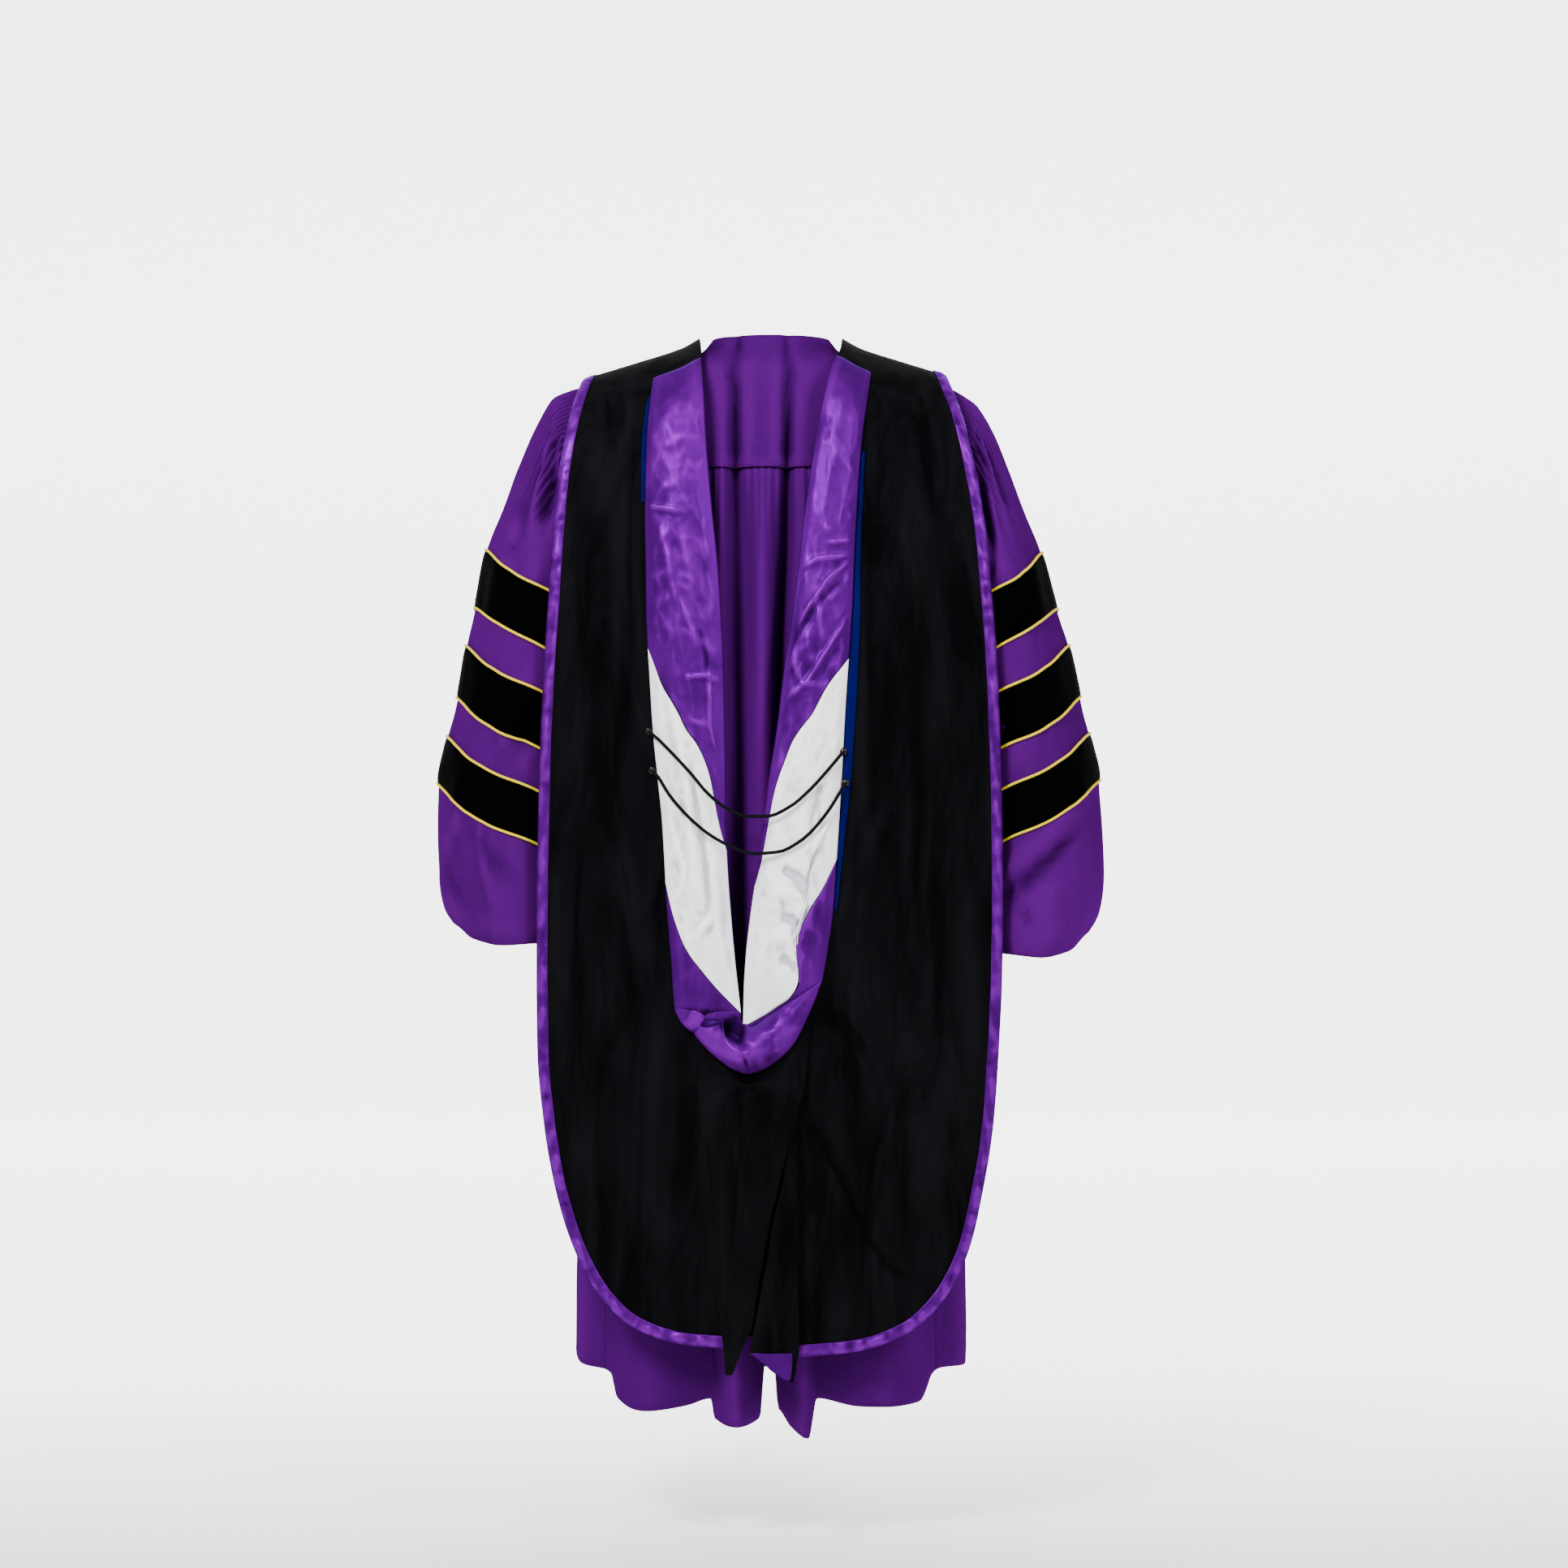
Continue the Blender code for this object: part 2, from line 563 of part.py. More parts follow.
def body_normal(round_deg, level):
    """Unit normal of the body's surface, pointing away from the wearer."""
    turn, rise = NORMAL_STEP_DEG, NORMAL_STEP
    round_deg, level = np.broadcast_arrays(np.asarray(round_deg, float), np.asarray(level, float))
    across = body_surface(round_deg + turn, level) - body_surface(round_deg - turn, level)
    down = body_surface(round_deg, level - rise) - body_surface(round_deg, level + rise)
    normal = np.cross(across, down)
    normal = normal / np.linalg.norm(normal, axis=-1, keepdims=True)
    away = np.stack([np.sin(np.radians(round_deg)), np.cos(np.radians(round_deg)), 0 * round_deg], axis=-1)
    return np.where(np.sum(normal * away, axis=-1, keepdims=True) < 0, -normal, normal)


def armhole_reach(level, lap_deg=0.0):
    """How far round from the side the armhole reaches at this height, in degrees."""
    middle = (SHOULDER_TIP_Z + UNDERARM_Z) / 2
    half = (SHOULDER_TIP_Z - UNDERARM_Z) / 2
    reach = ARMHOLE_SPREAD_DEG * np.sqrt(np.clip(1 - ((level - middle) / half) ** 2, 0, 1))
    return max(float(reach) - lap_deg, 0.0)


def body_panel(name, levels, start_deg, end_deg, shares, material):
    """A panel between two edges. start_deg and end_deg give the edge angle at each height."""
    half_seam_deg = math.degrees(SEAM / 2 / NARROWEST_RADIUS)
    rows = []
    for level in levels:
        start, end = start_deg(level), end_deg(level)
        toward = math.copysign(half_seam_deg, end - start)
        angles = (start + toward) + (end - start - 2 * toward) * shares
        rows.append(body_surface(angles, np.full(len(angles), level)))
    middle_deg = (start_deg(levels[-1]) + end_deg(levels[-1])) / 2
    away = (math.sin(math.radians(middle_deg)), math.cos(math.radians(middle_deg)), 0.0)
    return cloth(name, rows, GOWN_WALL, away, material)


def close_at_ends(count):
    """Shares from 0 to 1 that lie closer together towards both ends."""
    return (1 - np.cos(np.linspace(0, math.pi, count))) / 2


def back_edge(level):
    """Edge of the back at the side: the side seam below the underarm, the armhole above it."""
    return 90.0 - armhole_reach(level, ARMHOLE_LAP_DEG)


def front_edge(level):
    return 90.0 + armhole_reach(level, ARMHOLE_LAP_DEG)


def neck_reach(level):
    return float(read(NECK_V, "reach_deg", level))


def build_body(materials):
    material = materials["gown_cloth"]
    gather_x = np.linspace(-1.0, 1.0, BACK_COLUMNS) * math.sin(math.radians(GORE_SEAM_DEG))
    centre_shares = (np.degrees(np.arcsin(gather_x)) + GORE_SEAM_DEG) / (2 * GORE_SEAM_DEG)
    back_top, front_top = YOKE_LINE_Z - YOKE_SEAM, FRONT_YOKE_Z - YOKE_SEAM
    back_levels = (back_top,) + UNDERARM_LEVELS + SKIRT_LEVELS
    front_levels = (front_top, YOKE_LINE_Z) + UNDERARM_LEVELS + SKIRT_LEVELS
    body_panel(
        "back_centre", back_levels,
        lambda z: -GORE_SEAM_DEG, lambda z: GORE_SEAM_DEG, centre_shares, material,
    )
    body_panel(
        "yoke_back", YOKE_LEVELS + (-0.108, YOKE_LINE_Z),
        lambda z: -back_edge(z), lambda z: back_edge(z), close_at_ends(16), material,
    )
    for side, sign in (("left", 1.0), ("right", -1.0)):
        body_panel(
            f"back_side_{side}", back_levels,
            lambda z: sign * GORE_SEAM_DEG, lambda z: sign * back_edge(z), np.linspace(0, 1, 7), material,
        )
        body_panel(
            f"front_{side}", front_levels,
            lambda z: sign * front_edge(z), lambda z: sign * neck_reach(z), np.linspace(0, 1, 14), material,
        )
        body_panel(
            f"yoke_front_{side}", YOKE_LEVELS + (FRONT_YOKE_Z,),
            lambda z: sign * front_edge(z), lambda z: sign * neck_reach(z), close_at_ends(8), material,
        )


# Sleeves with their bars and piping


def armhole_loop(around_deg, lift):
    """The left armhole, from the shoulder tip round the back to the underarm and up the front."""
    around = np.radians(around_deg)
    middle = (SHOULDER_TIP_Z + UNDERARM_Z) / 2
    half = (SHOULDER_TIP_Z - UNDERARM_Z) / 2
    level = middle + half * np.cos(around)
    round_deg = 90.0 - ARMHOLE_SPREAD_DEG * np.sin(around)
    return body_surface(round_deg, level) + body_normal(round_deg, level) * lift


def sleeve_columns(count):
    """Angles round the sleeve: most of them in the gathered arc over the top."""
    gathered = round(count * SLEEVE_GATHERED_SHARE)
    rest = count - gathered
    top = np.linspace(-SLEEVE_GATHERED_DEG, SLEEVE_GATHERED_DEG, gathered, endpoint=False)
    under = np.linspace(SLEEVE_GATHERED_DEG, 360.0 - SLEEVE_GATHERED_DEG, rest, endpoint=False)
    return np.concatenate([top, under])


def sleeve_surface(t, around_deg):
    """The left sleeve's outer surface at ring t and angle, with its gathers and folds."""
    around = np.radians(around_deg)
    outer_x, outer_z = read(SLEEVE_RINGS, "outer_x", t), read(SLEEVE_RINGS, "outer_z", t)
    inner_x, inner_z = read(SLEEVE_RINGS, "inner_x", t), read(SLEEVE_RINGS, "inner_z", t)
    half_depth = read(SLEEVE_RINGS, "half_depth", t)
    middle_x, middle_z = (outer_x + inner_x) / 2, (outer_z + inner_z) / 2
    cosine, sine = np.cos(around), np.sin(around)
    ring = np.stack(
        [
            middle_x + (outer_x - inner_x) / 2 * cosine,
            half_depth * sine,
            middle_z + (outer_z - inner_z) / 2 * cosine - read(SLEEVE_RINGS, "droop", t) * sine,
        ],
        axis=-1,
    )
    settled = smooth(0.0, SLEEVE_SETTLED_T, t)
    point = armhole_loop(around_deg, HEAD_LIFT) * (1 - settled) + ring * settled
    centre = np.array([middle_x, 0.0, middle_z])
    out = point - centre
    out = out / np.maximum(np.linalg.norm(out, axis=-1, keepdims=True), 1e-9)
    wrapped = (around_deg + 180.0) % 360.0 - 180.0
    over_top = smooth(SLEEVE_GATHERED_DEG, SLEEVE_GATHERED_DEG - SLEEVE_GATHER_FADE_DEG, np.abs(wrapped))
    turn = np.pi * wrapped / SLEEVE_GATHERED_DEG
    fine, broad = np.cos(turn * SLEEVE_FINE_WAVES), np.cos((turn + SLEEVE_FOLD_TURN) * SLEEVE_FOLDS)
    height = read(SLEEVE_GATHER_DEPTH, "gather", t) * fine + read(SLEEVE_GATHER_DEPTH, "fold", t) * broad
    return point + out * (height * over_top)[..., None]


def build_sleeve(side, materials):
    sign = 1.0 if side == "left" else -1.0
    flip = np.array([sign, 1.0, 1.0])
    fine = sleeve_columns(SLEEVE_COLUMNS)
    coarse = fine[::SLEEVE_THINNING]
    rings = np.array([sleeve_surface(t, coarse) for t in SLEEVE_MESH_T])
    normals = normals_of(rings)
    rows = [sleeve_surface(t, fine) * flip for t in SLEEVE_MESH_T[:SLEEVE_FINE_ROWS]]
    rows += [ring * flip for ring in rings[SLEEVE_FINE_ROWS:]]
    middle = sum(len(row) for row in rows) // 2
    away = (np.vstack(rows)[middle] - SLEEVE_MIDDLE * flip)
    cloth(f"sleeve_{side}", rows, GOWN_WALL, away, materials["gown_cloth"], closed=True)

    def on_sleeve(t, lift):
        low = max(r for r, ring in enumerate(SLEEVE_MESH_T) if ring <= t)
        high = min(low + 1, len(SLEEVE_MESH_T) - 1)
        share = (t - SLEEVE_MESH_T[low]) / max(SLEEVE_MESH_T[high] - SLEEVE_MESH_T[low], 1e-9)
        points = rings[low] * (1 - share) + rings[high] * share
        normal = normals[low] * (1 - share) + normals[high] * share
        return (points + normal * lift) * flip

    for number, (start, end) in enumerate(BAR_EDGES, 1):
        bar = [on_sleeve(t, LIE + BAR_WALL) for t in (start + BAR_MARGIN, end - BAR_MARGIN)]
        away = bar[0][0] - bar[0].mean(axis=0)
        cloth(f"bar_{side}_{number}", bar, BAR_WALL, away, materials["black_velvet"], closed=True)
        for edge_number, edge in ((1, start), (2, end)):
            name = f"piping_{side}_{number}_{edge_number}"
            cord(name, on_sleeve(edge, LIE + PIPING_RADIUS), PIPING_RADIUS, 0, materials["gold_cord"], True)


# Hood


def hood_surface(x, drop):
    """The hood's outer face. A drop below zero is on the front of the shoulder, above zero on the back."""
    x, drop = np.broadcast_arrays(np.asarray(x, float), np.asarray(drop, float))
    fall = np.abs(drop)
    level = read(SHOULDER_TOP, "z", np.abs(x)) * smooth(*SHOULDER_FADE, fall) - fall
    middle, edge = read(HOOD_DRAPE, "middle_y", level), read(HOOD_DRAPE, "edge_y", level)
    back = middle - (middle - edge) * np.minimum(np.abs(x) / HOOD_EDGE_X, 1.1) ** HOOD_BACK_CURVE
    round_chest = 1 - (np.abs(x) / HOOD_FRONT_HALF_WIDTH) ** HOOD_FRONT_CURVE
    front = read(HOOD_FRONT, "middle_y", level) * np.sqrt(np.clip(round_chest, 0.05, 1))
    rounding = np.sqrt(np.clip(1 - (1 - np.minimum(fall / SHOULDER_ROUND, 1)) ** 2, 0, 1))
    y = np.where(drop >= 0, (back + hood_folds(x, level)) * rounding, -front * rounding)
    return np.stack([x, y, level], axis=-1)


def hood_folds(x, level):
    height = np.zeros_like(x)
    for x1, z1, x2, z2, half_width, tall in HOOD_FOLDS["rows"]:
        along = np.array([x2 - x1, z2 - z1])
        length = np.hypot(*along)
        along = along / length
        place = (x - x1) * along[0] + (level - z1) * along[1]
        away = (x - x1) * along[1] - (level - z1) * along[0]
        ends = smooth(-FOLD_FADE, FOLD_FADE, place) * smooth(length + FOLD_FADE, length - FOLD_FADE, place)
        height = height + tall * ends * np.exp(-((away / half_width) ** 2))
    return height


def slit_edge(side, drop):
    """The inner edge of a side panel: along the slit, then along the seam below it."""
    strip = STRIP_LEFT if side == "left" else STRIP_RIGHT
    half_seam = SEAM / 2 if side == "left" else -SEAM / 2
    seam_x = read(MEETING_SEAM, "x", drop) + half_seam
    return np.where(drop < SLIT_END_DROP, read(strip, "inner_x", drop), seam_x)


def hood_edges(side):
    """Outer and inner edge of a side panel at each of its rows, as x and drop."""
    row = np.linspace(0, HOOD_EDGE["rows"][-1][0], HOOD_ROW_COUNT)
    outer = np.stack([read(HOOD_EDGE, f"{side}_x", row), read(HOOD_EDGE, f"{side}_drop", row)], axis=-1)
    inner_drop = read(HOOD_EDGE, "inner_drop", row)
    return outer, np.stack([slit_edge(side, inner_drop), inner_drop], axis=-1)


def inset(curve, distance, toward):
    """A curve in the plane moved sideways by a distance, to the side that the other curve is on."""
    along = np.gradient(curve, axis=0)
    along = along / np.linalg.norm(along, axis=1, keepdims=True)
    side = np.stack([-along[:, 1], along[:, 0]], axis=1)
    if np.sum(side * (toward - curve)) < 0:
        side = -side
    return curve + side * distance


def hood_grid(first, second, shares):
    """Points of the hood's surface between two of its edge curves."""
    return first[:, None, :] * (1 - shares[None, :, None]) + second[:, None, :] * shares[None, :, None]


def hood_normal(x, drop):
    """Unit normal of the hood's surface, pointing away from the wearer."""
    step = NORMAL_STEP
    across = hood_surface(x + step, drop) - hood_surface(x - step, drop)
    down = hood_surface(x, drop + step) - hood_surface(x, drop - step)
    normal = np.cross(across, down)
    normal = normal / np.linalg.norm(normal, axis=-1, keepdims=True)
    flip = np.where(normal[..., 1] * np.where(drop >= 0, 1, -1) < 0, -1.0, 1.0)
    return normal * flip[..., None]


def hood_sheet(name, flat, wall, material, lift=0.0):
    """A cloth wall over the hood's surface, on x and drop places. The lift may differ from point to point."""
    x, drop = flat[..., 0], flat[..., 1]
    points, normal = hood_surface(x, drop), hood_normal(x, drop)
    outer = points + normal * (np.broadcast_to(lift, x.shape)[..., None] + wall)
    row = (len(outer) - 1) // 2
    return cloth(name, list(outer), wall, normal[row, x.shape[1] // 2], material)


def build_hood_panel(side, materials):
    outer, inner = hood_edges(side)
    border_inner = inset(outer, HOOD_BORDER, inner)
    velvet_outer = inset(outer, HOOD_BORDER + BORDER_SEAM, inner)
    velvet = hood_grid(velvet_outer, inner, np.linspace(0, 1, HOOD_COLUMNS + 1))
    hood_sheet(f"hood_panel_{side}", velvet, VELVET_WALL, materials["black_velvet"])
    border = hood_grid(outer, border_inner, np.array([0.0, 1.0]))
    hood_sheet(f"hood_border_{side}", border, VELVET_WALL, materials["purple_satin"])


def strip_puff(share, drop):
    """How far the lining stands off: full in its middle, with soft wrinkles, flat at its edges and ends."""
    rise = np.sin(math.pi * share)
    full = smooth(*STRIP_FILLS, drop) * smooth(*STRIP_EMPTIES, drop)
    wrinkle = STRIP_WRINKLE * np.sin(2 * math.pi * drop / STRIP_WRINKLE_PITCH + share * 3.0)
    return rise * full * (STRIP_PUFF + wrinkle)


def strip_piece(name, side, first, last, rows, material):
    """One piece of the lining strip between two of its seams."""
    strip = STRIP_LEFT if side == "left" else STRIP_RIGHT
    seams = STRIP_SEAMS[side]
    share = np.linspace(0, 1, STRIP_COLUMNS)[None, :]
    down = np.linspace(0, 1, rows)[:, None]
    top = seams[first][1] * (1 - share) + seams[first][0] * share + STRIP_SEAM
    bottom = seams[last][1] * (1 - share) + seams[last][0] * share - STRIP_SEAM
    drop = top * (1 - down) + bottom * down
    inner, outer = read(strip, "inner_x", drop), read(strip, "outer_x", drop)
    flat = np.stack([inner * (1 - share) + outer * share, drop], axis=-1)
    lift = VELVET_WALL + HOOD_LIE + strip_puff(np.broadcast_to(share, drop.shape), drop)
    hood_sheet(name, flat, SATIN_WALL, material, lift)


def build_lining(side, materials):
    strip_piece(f"hood_lining_{side}_upper", side, "start", "upper", 19, materials["purple_satin"])
    strip_piece(f"hood_chevron_{side}", side, "upper", "lower", 6, materials["white_satin"])
    strip_piece(f"hood_lining_{side}_lower", side, "lower", "end", 4, materials["purple_satin"])
    strip = STRIP_LEFT if side == "left" else STRIP_RIGHT
    table = BLUE_EDGE[side]
    drop = np.linspace(table["rows"][0][0], table["rows"][-1][0], 9)
    edge = read(strip, "outer_x", drop)
    away = 1.0 if side == "left" else -1.0
    gap = BLUE_EDGE_GAP[side]
    near = np.stack([edge + away * gap, drop], axis=-1)
    far = np.stack([edge + away * (gap + read(table, "width", drop)), drop], axis=-1)
    blue = hood_grid(near, far, np.array([0.0, 1.0]))
    hood_sheet(f"hood_velvet_edge_{side}", blue, SATIN_WALL, materials["blue_velvet"], VELVET_WALL + HOOD_LIE)


def build_roll(materials):
    s = np.linspace(0, 9, 13)[:, None]
    share = np.linspace(0, 1, ROLL_COLUMNS)[None, :]
    x = read(ROLL, "inner_x", s) * (1 - share) + read(ROLL, "outer_x", s) * share
    drop = read(ROLL, "inner_drop", s) * (1 - share) + read(ROLL, "outer_drop", s) * share
    lift = VELVET_WALL + ROLL_LIE + read(ROLL, "out", s) * np.sin(math.pi * share)
    hood_sheet("hood_roll", np.stack([x, drop], axis=-1), SATIN_WALL, materials["purple_satin"], lift)


def build_tail(materials):
    for name, table, cloth, wall in (
        ("hood_tail_main", TAIL_MAIN, "black_velvet", VELVET_WALL),
        ("hood_tail_side", TAIL_SIDE, "black_velvet", VELVET_WALL),
        ("hood_tail_corner", TAIL_CORNER, "purple_satin", SATIN_WALL),
    ):
        drop = np.array([row[0] for row in table["rows"]])[:, None]
        share = np.linspace(0, 1, 7)[None, :]
        x = read(table, "left_x", drop) * (1 - share) + read(table, "right_x", drop) * share
        full = np.minimum(np.abs(x[:, :1] - x[:, -1:]) / TAIL_FULL_WIDTH, 1.0)
        lift = read(table, "lift", drop) + TAIL_PUFF[name] * full * np.sin(math.pi * share)
        drop = drop + 0 * share
        if table is TAIL_MAIN:
            drop[0] = read(ROLL_LOWER_EDGE, "drop", x[0]) + TAIL_TUCK
            lift[0] = TAIL_TUCK
        hood_sheet(name, np.stack([x, drop], axis=-1), wall, materials[cloth], lift)


def build_cords(materials):
    for name, rows in CORDS.items():
        at = np.linspace(0, len(rows) - 1, 2 * len(rows) - 1)
        x, drop, off = (
            read({"columns": ("point", "value"), "rows": tuple(enumerate(values))}, "value", at)
            for values in zip(*rows)
        )
        path = hood_surface(x, drop)
        path[:, 1] += off
        cord(f"hood_cord_{name}", path, CORD_RADIUS, 1, materials["black_cord"])
        for end, k in (("left", 0), ("right", -1)):
            build_button(f"hood_button_{name}_{end}", rows[k][0], rows[k][1], BUTTON_LIFT[end], materials)


def build_button(name, x, drop, lift, materials):
    """A small button that tapers outwards, flat on the hood."""
    normal = hood_normal(np.array([x]), np.array([drop]))[0]
    mesh = bpy.data.meshes.new(name)
    shape = bmesh.new()
    bmesh.ops.create_cone(
        shape, cap_ends=True, segments=BUTTON_SIDES,
        radius1=BUTTON_RADIUS, radius2=BUTTON_RADIUS * 0.8, depth=BUTTON_HEIGHT,
    )
    shape.to_mesh(mesh)
    shape.free()
    button = link(name, mesh, materials["black_cord"])
    button.location = hood_surface(x, drop) + normal * (lift + BUTTON_HEIGHT / 2)
    button.rotation_euler = Vector(normal).to_track_quat("Z", "Y").to_euler()


def build_hood(materials):
    for side in ("left", "right"):
        build_hood_panel(side, materials)
        build_lining(side, materials)
    build_roll(materials)
    build_tail(materials)
    build_cords(materials)


clear_scene()
PARTS = bpy.data.collections.new("doctoral_gown")
bpy.context.scene.collection.children.link(PARTS)
finishes = make_materials()
build_body(finishes)
for which in ("left", "right"):
    build_sleeve(which, finishes)
build_hood(finishes)
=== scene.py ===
import math

import bmesh
import bpy
import numpy as np
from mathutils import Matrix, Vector


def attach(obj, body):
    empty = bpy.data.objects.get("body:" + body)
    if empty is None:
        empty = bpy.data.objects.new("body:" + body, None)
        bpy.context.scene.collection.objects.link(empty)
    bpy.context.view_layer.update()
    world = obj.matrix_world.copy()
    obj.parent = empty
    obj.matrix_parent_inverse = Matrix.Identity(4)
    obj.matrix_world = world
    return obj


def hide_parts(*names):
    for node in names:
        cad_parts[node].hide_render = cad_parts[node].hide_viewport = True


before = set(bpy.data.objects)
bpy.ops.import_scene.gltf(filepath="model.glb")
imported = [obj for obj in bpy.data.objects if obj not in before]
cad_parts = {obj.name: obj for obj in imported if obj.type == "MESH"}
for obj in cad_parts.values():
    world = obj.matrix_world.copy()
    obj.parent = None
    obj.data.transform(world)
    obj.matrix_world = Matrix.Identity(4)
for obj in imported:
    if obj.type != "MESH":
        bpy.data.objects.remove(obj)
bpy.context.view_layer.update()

print("frame loaded")


# Shared helpers

def smoothStep(edge0, edge1, value):
    share = np.clip((value - edge0) / (edge1 - edge0), 0.0, 1.0)
    return share * share * (3.0 - 2.0 * share)


def readTable(table, name, at):
    # a named column at a place along the first column, on a smooth curve that keeps to the rows
    rows = np.array(table["rows"], float)
    if rows[0, 0] > rows[-1, 0]:
        rows = rows[::-1]
    x, y = rows[:, 0], rows[:, table["columns"].index(name)]
    step = np.diff(x)
    slope = np.diff(y) / step
    tangent = np.empty_like(y)
    tangent[0], tangent[-1] = slope[0], slope[-1]
    before, after = slope[:-1], slope[1:]
    with np.errstate(divide="ignore", invalid="ignore"):
        weight1, weight2 = 2 * step[1:] + step[:-1], step[1:] + 2 * step[:-1]
        harmonic = (weight1 + weight2) / (weight1 / before + weight2 / after)
    tangent[1:-1] = np.where(before * after <= 0, 0.0, harmonic)
    at = np.clip(np.asarray(at, float), x[0], x[-1])
    k = np.clip(np.searchsorted(x, at) - 1, 0, len(step) - 1)
    u = (at - x[k]) / step[k]
    return (
        (2 * u**3 - 3 * u**2 + 1) * y[k] + (u**3 - 2 * u**2 + u) * step[k] * tangent[k]
        + (-2 * u**3 + 3 * u**2) * y[k + 1] + (u**3 - u**2) * step[k] * tangent[k + 1]
    )


def softNoise(x, y, seed):
    # smooth noise of two places, from -1 to 1
    column, row = np.floor(x), np.floor(y)
    u, v = x - column, y - row
    u, v = u * u * (3 - 2 * u), v * v * (3 - 2 * v)

    def corner(i, j):
        turn = np.sin((column + i) * 127.1 + (row + j) * 311.7 + seed * 74.7) * 43758.5453
        return 2 * (turn - np.floor(turn)) - 1

    top = corner(0, 0) * (1 - u) + corner(1, 0) * u
    bottom = corner(0, 1) * (1 - u) + corner(1, 1) * u
    return top * (1 - v) + bottom * v


def rumple(setting, x, y):
    # soft noise from a setting of its height, the scale of each place, and its seed
    height, xScale, yScale, seed = setting
    return height * softNoise(x * xScale, y * yScale, seed)


def creaseNoise(x, y, seed):
    # thin ridges between soft hollows, as in crushed satin
    bend = 0.6 * softNoise(x * 0.5 + 3.1, y * 0.5, seed + 9)
    first = 1 - np.abs(softNoise(x + bend, y - bend, seed)) * 2
    second = 1 - np.abs(softNoise(x * 2.1 - bend, y * 1.7 + bend, seed + 5)) * 2
    return first * 0.65 + second * 0.35


foldEnds = {"least": 0.15, "rises": 0.22, "falls": 0.62}


def foldHeight(folds, x, z):
    # ridges, or valleys where the height is below zero, each along its own path of x and z places
    height = np.zeros(np.broadcast(x, z).shape)
    for tall, startWidth, endWidth, path in folds["rows"]:
        places = np.array(path, float)
        steps = np.diff(places, axis=0)
        lengths = np.hypot(steps[:, 0], steps[:, 1])
        passed = np.concatenate([[0.0], np.cumsum(lengths)])
        nearest, along = np.full(height.shape, 9.0), np.zeros(height.shape)
        for k, (dx, dz) in enumerate(steps):
            share = np.clip(((x - places[k, 0]) * dx + (z - places[k, 1]) * dz) / lengths[k] ** 2, 0, 1)
            away = np.hypot(x - places[k, 0] - share * dx, z - places[k, 1] - share * dz)
            closer = away < nearest
            nearest = np.where(closer, away, nearest)
            along = np.where(closer, (passed[k] + share * lengths[k]) / passed[-1], along)
        width = startWidth + (endWidth - startWidth) * along
        tapers = smoothStep(0.0, foldEnds["rises"], along) * smoothStep(1.0, foldEnds["falls"], along)
        ends = foldEnds["least"] + (1 - foldEnds["least"]) * tapers
        height = height + tall * ends * np.exp(-((nearest / width) ** 2))
    return height


def metresAlong(points, axis):
    step = np.linalg.norm(np.diff(points, axis=axis), axis=2)
    blank = np.zeros_like(np.take(step, [0], axis=axis))
    return np.concatenate([blank, np.cumsum(step, axis=axis)], axis=axis)


def setMap(mesh, name, values):
    corners = np.empty(len(mesh.loops), np.int32)
    mesh.loops.foreach_get("vertex_index", corners)
    layer = mesh.uv_layers.new(name=name)
    layer.data.foreach_set("uv", values[corners].astype(np.float32).ravel())


def addMesh(name, mesh, material):
    mesh.materials.append(material)
    piece = bpy.data.objects.new(name, mesh)
    bpy.context.scene.collection.objects.link(piece)
    return piece


def softened(points, reach, wraps):
    # each point's place averaged with its neighbours' both ways along the grid
    for axis in (0, 1):
        pad = [(0, 0)] * 3
        pad[axis] = (reach, reach)
        if wraps and axis == 0:
            padded = np.concatenate([points[-1 - reach:-1], points, points[1:1 + reach]], axis=0)
        else:
            padded = np.pad(points, pad, mode="edge")
        blank = np.zeros_like(np.take(padded, [0], axis=axis))
        total = np.cumsum(np.concatenate([blank, padded], axis=axis), axis=axis)
        width = 2 * reach + 1
        count = points.shape[axis]
        ends = np.arange(count)
        points = (np.take(total, ends + width, axis=axis) - np.take(total, ends, axis=axis)) / width
    return points


foldMapShape = {"reach": 4, "sampleEvery": 9, "perMetre": 100.0}


def foldDepth(points, outward, wraps):
    # how far each point lies below the cloth round it, in centimetres
    every = foldMapShape["sampleEvery"]
    normal = np.cross(np.gradient(points, axis=0), np.gradient(points, axis=1))
    normal = normal / np.maximum(np.linalg.norm(normal, axis=-1, keepdims=True), 1e-12)
    lean = sum(
        float(np.dot(normal[i, j], outward(Vector(points[i, j]))))
        for i in range(0, points.shape[0], every) for j in range(0, points.shape[1], every)
    )
    depth = np.sum((softened(points, foldMapShape["reach"], wraps) - points) * normal, axis=-1)
    return depth * math.copysign(foldMapShape["perMetre"], lean)


